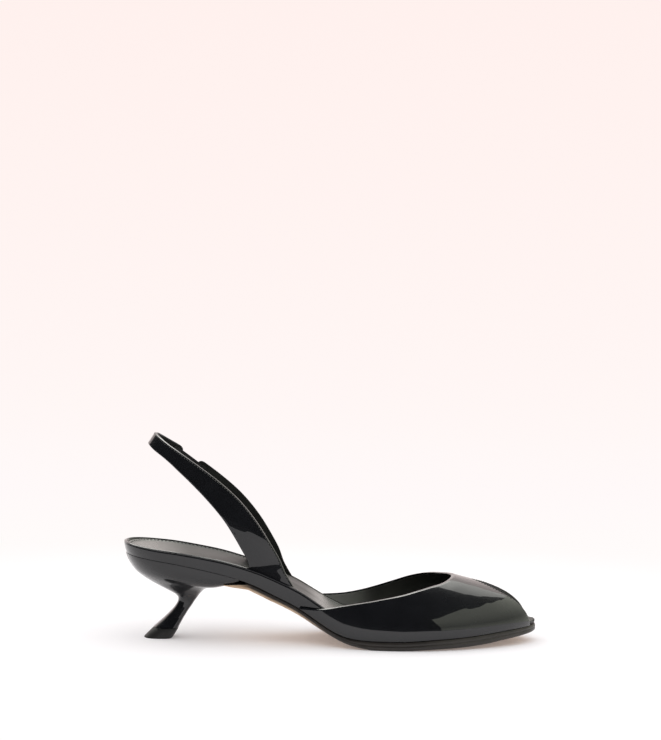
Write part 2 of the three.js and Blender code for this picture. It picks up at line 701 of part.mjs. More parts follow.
// A length of the sling as a wall: from one q to another, between two shares of its width.
// Its buried foot is an extra row at each end that is a base.
function slingPiece({ from, to, low, high, outset, inset, foot, rows, columns, tuck = 0 }) {
  const line = (q, offset, sink) => {
    const row = [];
    const toEnd = Math.min(from > 0 ? q - from : 1, to < 2 ? to - q : 1);
    const t = 1 - clamp(toEnd / strapEndRound, 0, 1);
    const narrow = tuck * (1 - Math.sqrt(1 - t * t));
    for (let j = 0; j <= columns; j += 1) {
      const share = lerp(low + narrow, high - narrow, j / columns);
      const p = slingPoint(q, share).addScaledVector(slingNormal(q, share), offset);
      p.z -= sink;
      row.push(p);
    }
    return row;
  };
  const grid = (offset) => {
    const list = [];
    if (from === 0) list.push(line(0, offset, foot));
    for (let i = 0; i <= rows; i += 1) list.push(line(lerp(from, to, i / rows), offset, 0));
    if (to === 2) list.push(line(2, offset, foot));
    return list;
  };
  return wallBetween(grid(outset), grid(-inset));
}

const elasticFrom = 1.23; // the outer strap ends here, on the inner side
const elasticTo = 1.304; // and the inner strap starts here
const halfStrap = strapThickness / 2;
const strapEndRound = 0.024; // the straps' ends are rounded over this length of q
const strapEndTuck = 0.2; // and drawn in by this share of their width

function makeOuterStrap() {
  return slingPiece({
    from: 0, to: elasticFrom, low: 0, high: 1,
    outset: halfStrap, inset: halfStrap, foot: strapDepth, rows: 46, columns: 4, tuck: strapEndTuck,
  });
}

function makeInnerStrap() {
  return slingPiece({
    from: elasticTo, to: 2, low: 0, high: 1,
    outset: halfStrap, inset: halfStrap, foot: strapDepth, rows: 26, columns: 4, tuck: strapEndTuck,
  });
}

function makeElastic() {
  const margin = (1 - elasticShare) / 2;
  const face = -(halfStrap + clearance);
  return slingPiece({
    from: elasticFrom - elasticLap, to: elasticTo + elasticLap, low: margin, high: 1 - margin,
    outset: face, inset: -face + elasticThickness, foot: 0, rows: 14, columns: 3,
  });
}

// The room that a strap's foot takes in the footbed and through the sock.
const roomReach = 0.09; // how far up the strap the room runs
const roomPast = 0.015; // and how far past its edges, as a share of its width
const roomGap = clearance + 0.1; // the strap bends between its rows, so a little more is left

function makeStrapRoom(inner) {
  return slingPiece({
    from: inner ? 2 - roomReach : 0, to: inner ? 2 : roomReach, low: -roomPast, high: 1 + roomPast,
    outset: halfStrap + roomGap, inset: halfStrap + roomGap, foot: strapDepth + clearance,
    rows: 4, columns: 6,
  });
}

// Heel: level by level from the seat to the tip. back and front are where each level starts
// and ends, as shares of the shoe's length, backUp and frontUp its heights there as shares
// of the heel's, wide its width between the neck's (0) and the seat's (1).
const heelRows = [
  { level: 0, back: 0.0045, backUp: 1.0, front: 0.2985, frontUp: 0.706, wide: 1.0, seat: 1.0 },
  { level: 0.05, back: 0.0075, backUp: 0.945, front: 0.287, frontUp: 0.683, wide: 0.99, seat: 1.0 },
  { level: 0.11, back: 0.0145, backUp: 0.875, front: 0.266, frontUp: 0.664, wide: 0.95, seat: 0.95 },
  { level: 0.17, back: 0.026, backUp: 0.797, front: 0.246, frontUp: 0.642, wide: 0.86, seat: 0.85 },
  { level: 0.23, back: 0.043, backUp: 0.73, front: 0.2285, frontUp: 0.622, wide: 0.72, seat: 0.7 },
  { level: 0.29, back: 0.0635, backUp: 0.668, front: 0.2115, frontUp: 0.612, wide: 0.55, seat: 0.52 },
  { level: 0.35, back: 0.087, backUp: 0.606, front: 0.197, frontUp: 0.583, wide: 0.37, seat: 0.34 },
  { level: 0.41, back: 0.11, backUp: 0.55, front: 0.188, frontUp: 0.54, wide: 0.21, seat: 0.17 },
  { level: 0.47, back: 0.1265, backUp: 0.503, front: 0.182, frontUp: 0.502, wide: 0.09, seat: 0.06 },
  { level: 0.52, back: 0.132, backUp: 0.464, front: 0.1765, frontUp: 0.463, wide: 0.025, seat: 0 },
  { level: 0.57, back: 0.131, backUp: 0.426, front: 0.171, frontUp: 0.4265, wide: 0, seat: 0 },
  { level: 0.62, back: 0.127, backUp: 0.386, front: 0.166, frontUp: 0.386, wide: 0, seat: 0 },
  { level: 0.7, back: 0.1175, backUp: 0.326, front: 0.1575, frontUp: 0.3265, wide: 0.012, seat: 0 },
  { level: 0.82, back: 0.0995, backUp: 0.236, front: 0.147, frontUp: 0.243, wide: 0.04, seat: 0 },
];
const heelBack = curve(heelRows, "level", "back");
const heelFront = curve(heelRows, "level", "front");
const heelBackUp = curve(heelRows, "level", "backUp");
const heelFrontUp = curve(heelRows, "level", "frontUp");
const heelWide = curve(heelRows, "level", "wide");
const heelSeat = curve(heelRows, "level", "seat");
const tipTopBack = 0.0735 * shoeLength;
const tipTopFront = 0.134 * shoeLength;
const tipFloorBack = 0.05 * shoeLength;
const tipFloorFront = 0.1195 * shoeLength;
const tipFlare = 0.9; // width of the tip's top, as a share of its width on the floor
const heelSides = 36; // points round each level
const breastPower = 0.45; // less is a flatter front
const backPower = 0.92; // 1 is a round back
const flankPower = 0.8; // less is a fuller side
const breastClose = 16; // more brings the seat's sides in later, at the very breast
const seatSlack = 0.05; // the heel's seat lies this far inside the footbed's foot

// A level's plan: a D with a flat front and a round back, half as wide as stated.
function heelPlan(start, end, half, k) {
  const angle = (k / heelSides) * Math.PI * 2;
  const forward = Math.cos(angle);
  const power = forward > 0 ? breastPower : backPower;
  const x = (start + end) / 2 + (Math.sign(forward) * Math.abs(forward) ** power * (end - start)) / 2;
  const y = half * Math.sign(Math.sin(angle)) * Math.abs(Math.sin(angle)) ** flankPower;
  return { x, y };
}

function heelLevel(level) {
  const start = heelBack(level) * shoeLength;
  const end = heelFront(level) * shoeLength;
  const seat = heelSeat(level);
  const inset = bandLean + seatSlack;
  const seatHalf = seatWidth / 2 - inset;
  const half = lerp(neckWidth / 2, seatHalf, heelWide(level));
  const shift = start - heelBack(0) * shoeLength;
  const loop = [];
  for (let k = 0; k < heelSides; k += 1) {
    const plain = heelPlan(start, end, half, k);
    const t = (plain.x - start) / (end - start);
    const fitted = halfWidth(plain.x - shift, -inset) * (half / seatHalf);
    const closing = Math.sqrt(Math.max(0, 1 - clamp(t, 0, 1) ** breastClose));
    const hand = Math.sign(plain.y);
    const y = centre(plain.x) + lerp(plain.y, hand * fitted * closing, seat);
    const seatLine = (x) => feather(x) - clearance;
    const bow = seatLine(plain.x) - lerp(seatLine(start), seatLine(end), t);
    const backZ = level === 0 ? seatLine(start) : heelBackUp(level) * heelHeight;
    const frontZ = level === 0 ? seatLine(end) : heelFrontUp(level) * heelHeight;
    loop.push(new THREE.Vector3(plain.x, y, lerp(backZ, frontZ, t) + bow * seat));
  }
  return loop;
}

function tipLevel(start, end, half, z) {
  const loop = [];
  for (let k = 0; k < heelSides; k += 1) {
    const { x, y } = heelPlan(start, end, half, k);
    loop.push(new THREE.Vector3(x, centre(x) + y, z));
  }
  return loop;
}

function makeHeel(soleRoom) {
  const levels = [0, 0.02];
  for (let level = 0.05; level < 0.545; level += 0.03) levels.push(level);
  levels.push(0.57, 0.62, 0.68, 0.75, 0.82);
  const loops = levels.map(heelLevel);
  loops.push(tipLevel(tipTopBack, tipTopFront, (tipWidth / 2) * tipFlare, tipHeight + clearance));
  return loft(loops).subtract(soleRoom);
}

function makeHeelTip() {
  return loft([
    tipLevel(tipTopBack, tipTopFront, (tipWidth / 2) * tipFlare, tipHeight),
    tipLevel(tipFloorBack, tipFloorFront, tipWidth / 2, 0),
  ]);
}

// A named mesh in its own finish from a solid.
function piece(name, finish, solid) {
  const { vertProperties, triVerts, numProp } = solid.getMesh();
  const positions = new Float32Array((vertProperties.length / numProp) * 3);
  for (let i = 0; i < positions.length / 3; i += 1) {
    for (let k = 0; k < 3; k += 1) positions[i * 3 + k] = vertProperties[i * numProp + k];
  }
  const geometry = new THREE.BufferGeometry();
  geometry.setAttribute("position", new THREE.BufferAttribute(positions, 3));
  geometry.setIndex(new THREE.BufferAttribute(new Uint32Array(triVerts), 1));
  geometry.computeVertexNormals();
  const mesh = new THREE.Mesh(geometry, new THREE.MeshStandardMaterial(finishes[finish]));
  mesh.name = name;
  return mesh;
}

const strapRooms = makeStrapRoom(false).add(makeStrapRoom(true));
const vampRoom = makeVampRoom();
const footbed = makeFootbedBody().subtract(makeSockPocket()).subtract(vampRoom).subtract(strapRooms);
const sock = makeSockBody().subtract(vampRoom).subtract(strapRooms);

const shoe = new THREE.Group();
shoe.add(
  piece("outsole", "soleLeather", makeOutsole()),
  piece("heel", "patent", makeHeel(makeOutsole(clearance))),
  piece("heel_tip", "tipPlastic", makeHeelTip()),
  piece("footbed", "patent", footbed),
  piece("sock", "sockLeather", sock),
  piece("vamp", "patent", makeVamp()),
  piece("sling_strap_outer", "patent", makeOuterStrap()),
  piece("sling_elastic", "elasticWeave", makeElastic()),
  piece("sling_strap_inner", "patent", makeInnerStrap()),
);

// The origin is the middle of the footprint, on the floor.
const box = new THREE.Box3().setFromObject(shoe);
const middle = box.getCenter(new THREE.Vector3());
shoe.position.set(-middle.x, -middle.y, -box.min.z);

export default shoe;
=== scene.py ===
import math

import bmesh
import bpy
import numpy as np
from mathutils import Matrix, Vector


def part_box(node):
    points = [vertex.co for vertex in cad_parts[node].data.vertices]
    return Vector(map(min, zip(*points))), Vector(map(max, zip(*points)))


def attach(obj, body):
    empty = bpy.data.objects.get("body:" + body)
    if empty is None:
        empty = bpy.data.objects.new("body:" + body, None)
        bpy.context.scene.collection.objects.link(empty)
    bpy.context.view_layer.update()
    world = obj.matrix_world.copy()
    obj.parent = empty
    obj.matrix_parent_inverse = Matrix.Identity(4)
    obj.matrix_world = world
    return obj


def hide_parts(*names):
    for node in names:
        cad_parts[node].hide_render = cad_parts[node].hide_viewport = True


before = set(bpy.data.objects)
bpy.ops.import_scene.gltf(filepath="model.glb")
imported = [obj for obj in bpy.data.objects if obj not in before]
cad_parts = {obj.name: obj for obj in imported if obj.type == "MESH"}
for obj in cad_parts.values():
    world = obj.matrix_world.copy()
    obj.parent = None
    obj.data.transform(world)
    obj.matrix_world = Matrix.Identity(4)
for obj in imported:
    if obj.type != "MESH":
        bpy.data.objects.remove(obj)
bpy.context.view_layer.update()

# The shoe is worked out in millimetres from the back of the heel, as a last is drawn,
# and put into the frame when its points become a mesh.
metre = 0.001
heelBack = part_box("footbed")[0].x
tipLow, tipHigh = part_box("heel_tip")
middleLine = (tipLow.y + tipHigh.y) / 2


# Helpers

# Monotone cubic through two named columns of a table, then blurred along its run, so that
# reflections show no joints between its rows. blur is a share of the table's run.
def curve(table, run, column, blur=0.006):
    xs = np.array(table[run], float)
    ys = np.array(table[column], float)
    step = np.diff(ys) / np.diff(xs)
    before, after = step[:-1], step[1:]
    mean = 2 * before * after / np.where(before + after == 0, 1, before + after)
    slope = np.concatenate([step[:1], np.where(before * after > 0, mean, 0), step[-1:]])
    grid = np.linspace(xs[0], xs[-1], 3001)
    i = np.clip(np.searchsorted(xs, grid, side="right") - 1, 0, len(xs) - 2)
    span = xs[i + 1] - xs[i]
    t = (grid - xs[i]) / span
    rise = t * t * (3 - 2 * t)
    values = ys[i] + (ys[i + 1] - ys[i]) * rise
    values += t * (1 - t) ** 2 * span * slope[i] + t * t * (t - 1) * span * slope[i + 1]
    reach = int(3 * blur * 3000) + 1
    bell = np.exp(-0.5 * (np.arange(-reach, reach + 1) / max(blur * 3000, 0.3)) ** 2)
    padded = np.pad(values, reach, mode="reflect", reflect_type="odd")
    smooth = np.convolve(padded, bell / bell.sum(), mode="valid")
    return lambda v: np.interp(v, grid, smooth)


def lerp(a, b, t):
    return a + (b - a) * t


# 0 before low, 1 after high, and an S between.
def ease(v, low, high):
    t = np.clip((v - low) / (high - low), 0, 1)
    return t * t * (3 - 2 * t)


def unit(v):
    return v / np.maximum(np.linalg.norm(v, axis=-1, keepdims=True), 1e-9)


def stack(x, y, z):
    return np.stack(np.broadcast_arrays(x, y, z), -1).astype(float)


# Cell (i, j) of a grid joins points (i, j), (i+1, j), (i+1, j+1) and (i, j+1). Its rows or its
# columns may close on themselves.
def gridFaces(rows, columns, close=None):
    i = np.arange(rows if close == "rows" else rows - 1)[:, None]
    j = np.arange(columns if close == "columns" else columns - 1)[None, :]
    i2, j2 = (i + 1) % rows, (j + 1) % columns
    corners = [i * columns + j, i2 * columns + j, i2 * columns + j2, i * columns + j2]
    return np.stack(np.broadcast_arrays(*corners), -1).reshape(-1, 4)


# Closes both ends of a tube of loops with a fan of flat faces.
def closeEnds(points):
    ends = [points[i:j].mean(1, keepdims=True).repeat(points.shape[1], 1) for i, j in ((0, 1), (-1, None))]
    return np.concatenate([ends[0], points, ends[1]])


# Length run so far at each point of a line: the sum of the steps before it.
def runAlong(points):
    steps = np.linalg.norm(np.diff(points, axis=-2), axis=-1)
    return np.concatenate([0 * steps[..., :1], np.cumsum(steps, -1)], -1)


# A mesh piece from a grid of points in the shoe's millimetres, or from points and faces of four
# corners. Doubles are merged, which closes seams and poles, and the faces are turned outwards.
def makePiece(name, points, material, replaces=(), faces=None, close="columns", notes=None,
              sharp=None):
    if faces is None:
        faces = gridFaces(*points.shape[:2], close)
    points = points.reshape(-1, 3)
    placed = points * metre + np.array([heelBack, middleLine, 0.0])
    mesh = bpy.data.meshes.new(name)
    mesh.vertices.add(len(placed))
    mesh.vertices.foreach_set("co", placed.astype(np.float32).ravel())
    mesh.loops.add(faces.size)
    mesh.loops.foreach_set("vertex_index", faces.astype(np.int32).ravel())
    mesh.polygons.add(len(faces))
    mesh.polygons.foreach_set("loop_start", np.arange(0, faces.size, faces.shape[1], dtype=np.int32))
    mesh.update(calc_edges=True)
    for key, values in (notes or {}).items():
        values = np.asarray(values, np.float32).reshape(len(placed), -1)
        kind = "FLOAT" if values.shape[1] == 1 else "FLOAT_VECTOR"
        field = "value" if kind == "FLOAT" else "vector"
        mesh.attributes.new(key, kind, "POINT").data.foreach_set(field, values.ravel())
    work = bmesh.new()
    work.from_mesh(mesh)
    bmesh.ops.remove_doubles(work, verts=work.verts, dist=2e-6)
    bmesh.ops.recalc_face_normals(work, faces=work.faces)
    work.to_mesh(mesh)
    work.free()
    mesh.polygons.foreach_set("use_smooth", np.ones(len(mesh.polygons), bool))
    if sharp:
        mesh.set_sharp_from_angle(angle=math.radians(sharp))
    mesh.materials.append(material)
    piece = bpy.data.objects.new(name, mesh)
    bpy.context.scene.collection.objects.link(piece)
    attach(piece, "root")
    if replaces:
        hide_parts(*replaces)
    return piece


# sRGB hex to linear colour.
def hexColour(text):
    parts = np.array([int(text[i:i + 2], 16) for i in (1, 3, 5)]) / 255
    linear = np.where(parts <= 0.04045, parts / 12.92, ((parts + 0.055) / 1.055) ** 2.4)
    return (*linear, 1.0)


# Gives a node's sockets a value or another node's output. A socket goes by its name, with _ for
# each space, or by its number, such as s3.
def setSockets(tree, node, **sockets):
    for key, value in sockets.items():
        socket = node.inputs[int(key[1:]) if key[1:].isdigit() else key.replace("_", " ")]
        if isinstance(value, bpy.types.NodeSocket):
            tree.links.new(value, socket)
        else:
            socket.default_value = value


# Adds a node and returns one of its outputs: settings are attributes, stops a ramp's colours.
def addNode(tree, kind, settings=None, stops=(), output=0, **sockets):
    node = tree.nodes.new("ShaderNode" + kind)
    for key, value in (settings or {}).items():
        setattr(node, key, value)
    setSockets(tree, node, **sockets)
    if stops:
        elements = node.color_ramp.elements
        while len(elements) < len(stops):
            elements.new(0.5)
        for element, (at, colour) in zip(elements, stops):
            element.position = at
            element.color = hexColour(colour)
    return node.outputs[output] if node.outputs else node


smooth = {"interpolation_type": "SMOOTHSTEP"}
inColour = {"data_type": "RGBA"}


# A new material with its tree and shader; sockets holds what is the same all over.
def newMaterial(name, **sockets):
    material = bpy.data.materials.new(name)
    material.use_nodes = True
    tree = material.node_tree
    shader = tree.nodes["Principled BSDF"]
    setSockets(tree, shader, **sockets)
    return material, tree, shader


# The step that ends most materials: colour over the shader, and relief of a depth in metres.
def colourAndRelief(tree, shader, colour, height, strength, depth):
    relief = addNode(tree, "Bump", Strength=strength, Distance=depth, Height=height)
    setSockets(tree, shader, Base_Color=colour, Normal=relief)


# Camera: the photo's angle. The picture turns by roll, so that the toe lies lower.

view = {
    "frameWidth": 661, "frameHeight": 740,
    "focalPixels": 2973.3,
    "distance": 1700.0, "azimuth": -2.4, "elevation": 4.5, "roll": 1.0,
    "aimHeight": 27.3, "aimPixelDown": 222.0,
}


def makeCamera():
    a, e, r = (math.radians(view[k]) for k in ("azimuth", "elevation", "roll"))
    back = Vector((math.sin(a) * math.cos(e), -math.cos(a) * math.cos(e), math.sin(e)))
    level = Vector((math.cos(a), math.sin(a), 0))
    up = back.cross(level)
    right = level * math.cos(r) + up * math.sin(r)
    up = up * math.cos(r) - level * math.sin(r)
    drop = view["aimPixelDown"] / view["focalPixels"] * view["distance"]
    place = Vector((0, 0, view["aimHeight"])) + back * view["distance"] + up * drop
    data = bpy.data.cameras.new("camera")
    data.sensor_fit = "AUTO"
    data.sensor_width = 36
    data.lens = view["focalPixels"] / view["frameHeight"] * data.sensor_width
    data.clip_start, data.clip_end = 0.05, 20
    camera = bpy.data.objects.new("camera", data)
    turn = Matrix((right, up, back)).transposed().to_4x4()
    camera.matrix_world = Matrix.Translation(place * metre) @ turn
    bpy.context.scene.collection.objects.link(camera)
    bpy.context.scene.camera = camera


makeCamera()
print("camera made")


# Studio: white paper that sweeps up behind the shoe and ends in front of it, as on a table.
# A wide lamp lights it near the shoe, and further off it glows like a light table, so that it
# stays even. The patent sees three things besides: a softbox high behind, an olive wall on the
# right, and a dark room in front.

studio = {
    "floorFront": -0.5, "floorBack": 1.1, "sweepRadius": 0.5, "sweepTop": 1.3, "halfWide": 1.6,
    "paper": [(0.1, "#fefcfd"), (0.4, "#fffbfa"), (0.7, "#fff9f9"), (1.1, "#fff8f7"), (2.03, "#fff1ee")],
    "paperRun": 2.1, "paperShade": 0.95, "lit": 0.86, "litNear": 0.15, "litFar": 0.45,
    "room": 0.03,
    "lampHeight": 1.25, "lampSize": 5.0, "lampPower": 110.0,
    "boxHeight": 1.28, "boxFront": 0.57, "boxBack": 1.58, "boxLeft": -1.3, "boxRight": (0.8, 1.15),
    "boxHot": (5.0, 0.35), "boxCool": (1.6, 0.72), "boxColour": (1.0, 1.0, 0.95, 1),
    "wallAt": 1.0, "wallFront": -1.45, "wallBack": 1.5, "wallColour": (0.97, 1.0, 0.85, 1),
    "wallGlow": [(0.0, 1.05), (0.35, 0.55), (0.9, 0.98), (1.27, 1.1)],
}


# A sheet of the set. One that is onlyReflected shows in reflections alone and throws no shadow.
def makeSheet(name, points, faces, material, onlyReflected):
    mesh = bpy.data.meshes.new(name)
    mesh.from_pydata(points, [], faces)
    mesh.polygons.foreach_set("use_smooth", np.ones(len(mesh.polygons), bool))
    mesh.materials.append(material)
    sheet = bpy.data.objects.new(name, mesh)
    bpy.context.scene.collection.objects.link(sheet)
    if onlyReflected:
        sheet.visible_camera = False
        sheet.visible_diffuse = False
        sheet.visible_shadow = False


# The paper: flat, then a quarter circle, then straight up. It is lit near the shoe and glows
# further off, and its tint follows the way back and up over it.
def makeFloor():
    back, radius = studio["floorBack"], studio["sweepRadius"]
    straight = np.linspace(studio["floorFront"], back, 12)
    turn = np.linspace(0, math.pi / 2, 25)[1:]
    ys = np.concatenate([straight, back + radius * np.sin(turn), [back + radius]])
    zs = np.concatenate([0 * straight, radius * (1 - np.cos(turn)), [studio["sweepTop"]]])
    xs = np.array([-studio["halfWide"], studio["halfWide"]])
    points = stack(xs[:, None], ys[None, :], zs[None, :]).reshape(-1, 3).tolist()
    material, tree, shader = newMaterial(
        "Matte seamless paper on a light table", Roughness=1.0, Specular_IOR_Level=0.0,
    )
    place = addNode(tree, "TexCoord", output="Object")
    deep, high = (addNode(tree, "SeparateXYZ", output=axis, s0=place) for axis in "YZ")
    run = addNode(tree, "Math", {"operation": "ADD"}, s0=deep, s1=high)
    share = addNode(tree, "Math", {"operation": "DIVIDE"}, s0=run, s1=studio["paperRun"])
    stops = [(at / studio["paperRun"], colour) for at, colour in studio["paper"]]
    tint = addNode(tree, "ValToRGB", stops=stops, s0=share)
    away = addNode(tree, "VectorMath", {"operation": "LENGTH"}, output="Value", s0=place)
    lit = addNode(
        tree, "MapRange", smooth,
        s0=away, s1=studio["litNear"], s2=studio["litFar"], s3=studio["lit"], s4=0.0,
    )
    glow = addNode(tree, "Math", {"operation": "SUBTRACT"}, s0=1.0, s1=lit)
    shade = addNode(tree, "Math", {"operation": "MULTIPLY"}, s0=lit, s1=studio["paperShade"])
    base = addNode(tree, "Mix", inColour, output=2, s0=shade, s6=(0, 0, 0, 1), s7=tint)
    setSockets(tree, shader, Base_Color=base, Emission_Color=tint, Emission_Strength=glow)
    makeSheet("floor", points, gridFaces(2, len(ys)).tolist(), material, False)


# A glowing flat panel: its strength changes along one axis, through the stops (place, strength).
def makePanel(name, corners, colour, axis, stops):
    material = bpy.data.materials.new(name)
    material.use_nodes = True
    tree = material.node_tree
    tree.nodes.clear()
    place = addNode(tree, "TexCoord", output="Object")
    along = addNode(tree, "SeparateXYZ", output=axis, s0=place)
    strength = 0.0
    for (low, weak), (high, strong) in zip(stops, stops[1:]):
        first = low == stops[0][0]
        start, end = (weak, strong) if first else (0.0, strong - weak)
        part = addNode(tree, "MapRange", s0=along, s1=low, s2=high, s3=start, s4=end)
        strength = addNode(tree, "Math", {"operation": "ADD"}, s0=strength, s1=part)
    glow = addNode(tree, "Emission", Color=colour, Strength=strength)
    addNode(tree, "OutputMaterial", Surface=glow)
    makeSheet(name, corners, [[0, 1, 2, 3]], material, True)


def makeStudio():
    makeFloor()
    up, front, back = studio["boxHeight"], studio["boxFront"], studio["boxBack"]
    left, (rightFront, rightBack) = studio["boxLeft"], studio["boxRight"]
    corners = [(left, front, up), (rightFront, front, up), (rightBack, back, up), (left, back, up)]
    stops = [studio["boxHot"][::-1], studio["boxCool"][::-1]]
    makePanel("softbox_behind", corners, studio["boxColour"], "X", stops)
    at, front, back = studio["wallAt"], studio["wallFront"], studio["wallBack"]
    up = studio["wallGlow"][-1][0]
    corners = [(at, front, 0), (at, back, 0), (at, back, up), (at, front, up)]
    makePanel("wall_right", corners, studio["wallColour"], "Z", studio["wallGlow"])
    data = bpy.data.lights.new("lamp_overhead", "AREA")
    data.shape = "SQUARE"
    data.size = studio["lampSize"]
    data.energy = studio["lampPower"]
    lamp = bpy.data.objects.new("lamp_overhead", data)
    lamp.location = (0, 0, studio["lampHeight"])
    lamp.visible_glossy = False
    bpy.context.scene.collection.objects.link(lamp)
    world = bpy.data.worlds.new("dark room")
    world.use_nodes = True
    world.node_tree.nodes["Background"].inputs[0].default_value = (studio["room"],) * 3 + (1,)
    bpy.context.scene.world = world
    bpy.context.scene.view_settings.view_transform = "Standard"


makeStudio()
print("studio made")


# Materials

# Patent leather: split leather under a cast polyurethane film. The film gives hard, clear
# reflections, bent a little by the leather under it; the black below stays deep.
def makePatent(name, wave):
    material, tree, shader = newMaterial(
        name, Roughness=0.35, IOR=1.5, Specular_IOR_Level=0.1,
        Coat_Weight=1.0, Coat_Roughness=0.008, Coat_IOR=1.53,
    )
    place = addNode(tree, "TexCoord", output="Object")
    tone = addNode(tree, "TexNoise", Vector=place, Scale=60.0, Detail=3.0)
    colour = addNode(tree, "ValToRGB", stops=[(0.3, "#0c0d10"), (0.7, "#131417")], s0=tone)
    # slow waves of the leather, about 9 mm long, and a faint pebble about 2 mm across
    waves = addNode(tree, "TexNoise", Vector=place, Scale=110.0, Detail=0.0)
    pebble = addNode(tree, "TexNoise", Vector=place, Scale=500.0, Detail=0.0)
    slow = addNode(tree, "Bump", Strength=1.0, Distance=wave, Height=waves)
    fine = addNode(tree, "Bump", Strength=1.0, Distance=wave / 40, Height=pebble, Normal=slow)
    setSockets(tree, shader, Base_Color=colour, Coat_Normal=fine, Normal=slow)
    return material


# Sock lining: thin black goat leather, drum dyed and lightly plated, so its grain is flat
# and it shines softly at a low angle. A painted sheen makes it pale grey and smoother where the
# heel sits and before the vamp, and painted light and dark streaks run lengthwise under the arch.
def makeSockLeather():
    material, tree, shader = newMaterial(
        "Goat lining leather, drum dyed and plated",
        IOR=1.5, Specular_Tint=(0.91, 1.0, 0.93, 1.0), Specular_IOR_Level=0.35,
    )
    place = addNode(tree, "TexCoord", output="Object")
    along = addNode(tree, "SeparateXYZ", output="X", s0=place)
    # each goes from one share to another between two places along the shoe, in metres
    heelSheen, ball, arch, ending = (
        addNode(tree, "MapRange", smooth, s0=along, s1=low, s2=high, s3=before, s4=after)
        for low, high, before, after in (
            (-0.11, -0.078, 1.0, 0.0), (-0.016, -0.004, 0.0, 0.8),
            (-0.045, -0.02, 0.0, 1.0), (0.004, 0.035, 1.0, 0.0),
        )
    )
    ball, arch = (addNode(tree, "Math", {"operation": "MULTIPLY"}, s0=v, s1=ending) for v in (ball, arch))
    drawn = addNode(tree, "Mapping", Vector=place, Scale=(0.04, 1.0, 0.2))
    wrinkles = addNode(tree, "TexNoise", Vector=drawn, Scale=260.0, Detail=2.0)
    # painted light and shade: lengthwise streaks under the arch that lighten and darken the colour, as
    # creases would catch the light
    paintedStreaks = addNode(tree, "MapRange", s0=wrinkles, s1=0.35, s2=0.65, s3=-0.12, s4=0.12)
    paintedStreaks = addNode(tree, "Math", {"operation": "MULTIPLY"}, s0=paintedStreaks, s1=arch)
    # painted sheen: a pale share where the heel sits and before the vamp, with the painted streaks added
    paintedSheen = addNode(tree, "Math", {"operation": "ADD"}, s0=heelSheen, s1=ball)
    paintedSheen = addNode(tree, "Math", {"operation": "ADD", "use_clamp": True}, s0=paintedSheen, s1=paintedStreaks)
    tone = addNode(tree, "TexNoise", Vector=place, Scale=40.0, Detail=4.0)
    dyed = addNode(tree, "ValToRGB", stops=[(0.3, "#141413"), (0.75, "#1e1e1d")], s0=tone)
    # the colour turns to a pale grey where the painted sheen lies
    colour = addNode(tree, "Mix", inColour, output=2, s0=paintedSheen, s6=dyed, s7=hexColour("#777773"))
    matt = addNode(tree, "MapRange", s0=tone, s1=0.3, s2=0.7, s3=0.4, s4=0.5)
    rough = addNode(tree, "Mix", {"data_type": "FLOAT"}, s0=paintedSheen, s2=matt, s3=0.22)
    setSockets(tree, shader, Roughness=rough)
    # goat grain: cells about 0.7 mm across
    cells = addNode(tree, "TexVoronoi", {"feature": "SMOOTH_F1"}, Vector=place, Scale=1400.0)
    colourAndRelief(tree, shader, colour, cells, 0.5, 0.00005)
    return material


# Vamp lining: the same goat leather in a dark olive grey, a little duller, with painted light
# that makes it paler at the wings and a painted shade that darkens it further in.
# The straps' lining is all of the deeper tone.
def makeLiningLeather(name, deepTones, paleLitTones, shine):
    material, tree, shader = newMaterial(name, Roughness=0.5, IOR=1.5, Specular_IOR_Level=shine)
    place = addNode(tree, "TexCoord", output="Object")
    tone = addNode(tree, "TexNoise", Vector=place, Scale=90.0, Detail=4.0)
    deep, paleLitTone = (
        addNode(tree, "ValToRGB", stops=list(zip((0.3, 0.7), tones)), s0=tone)
        for tones in (deepTones, paleLitTones)
    )
    along = addNode(tree, "SeparateXYZ", output="X", s0=place)
    # painted light: paler tones towards the wings, deeper ones further in where the inside lies in shade
    paintedLight = addNode(tree, "MapRange", smooth, s0=along, s1=0.005, s2=0.03, s3=1.0, s4=0.0)
    colour = addNode(tree, "Mix", inColour, output=2, s0=paintedLight, s6=deep, s7=paleLitTone)
    cells = addNode(tree, "TexVoronoi", {"feature": "SMOOTH_F1"}, Vector=place, Scale=1300.0)
    colourAndRelief(tree, shader, colour, cells, 0.6, 0.00006)
    return material


# Sole leather: vegetable tanned, rolled hard and burnished, its edge inked black-brown; the
# same dark, laid along the top of the edge under the arch, is painted shade of the gap under the band.
def makeSoleLeather():
    material, tree, shader = newMaterial(
        "Sole leather, vegetable tanned, inked edge", Roughness=0.4, IOR=1.5,
    )
    place = addNode(tree, "TexCoord", output="Object")
    drawn = addNode(tree, "Mapping", Vector=place, Scale=(0.35, 1.0, 1.0))
    tone = addNode(tree, "TexNoise", Vector=drawn, Scale=260.0, Detail=5.0)
    tan = addNode(tree, "ValToRGB", stops=[(0.3, "#c0a284"), (0.75, "#d9bfa4")], s0=tone)
    # the dark of the inked edge, also used as painted shade along the top of the edge under the arch
    inkAndShade = addNode(tree, "ValToRGB", stops=[(0.3, "#211e1b"), (0.75, "#302b27")], s0=tone)
    inkAndShadeShare = addNode(tree, "Attribute", {"attribute_name": "inkAndShade"}, output="Fac")
    colour = addNode(tree, "Mix", inColour, output=2, s0=inkAndShadeShare, s6=tan, s7=inkAndShade)
    colourAndRelief(tree, shader, colour, tone, 0.4, 0.0001)
    return material


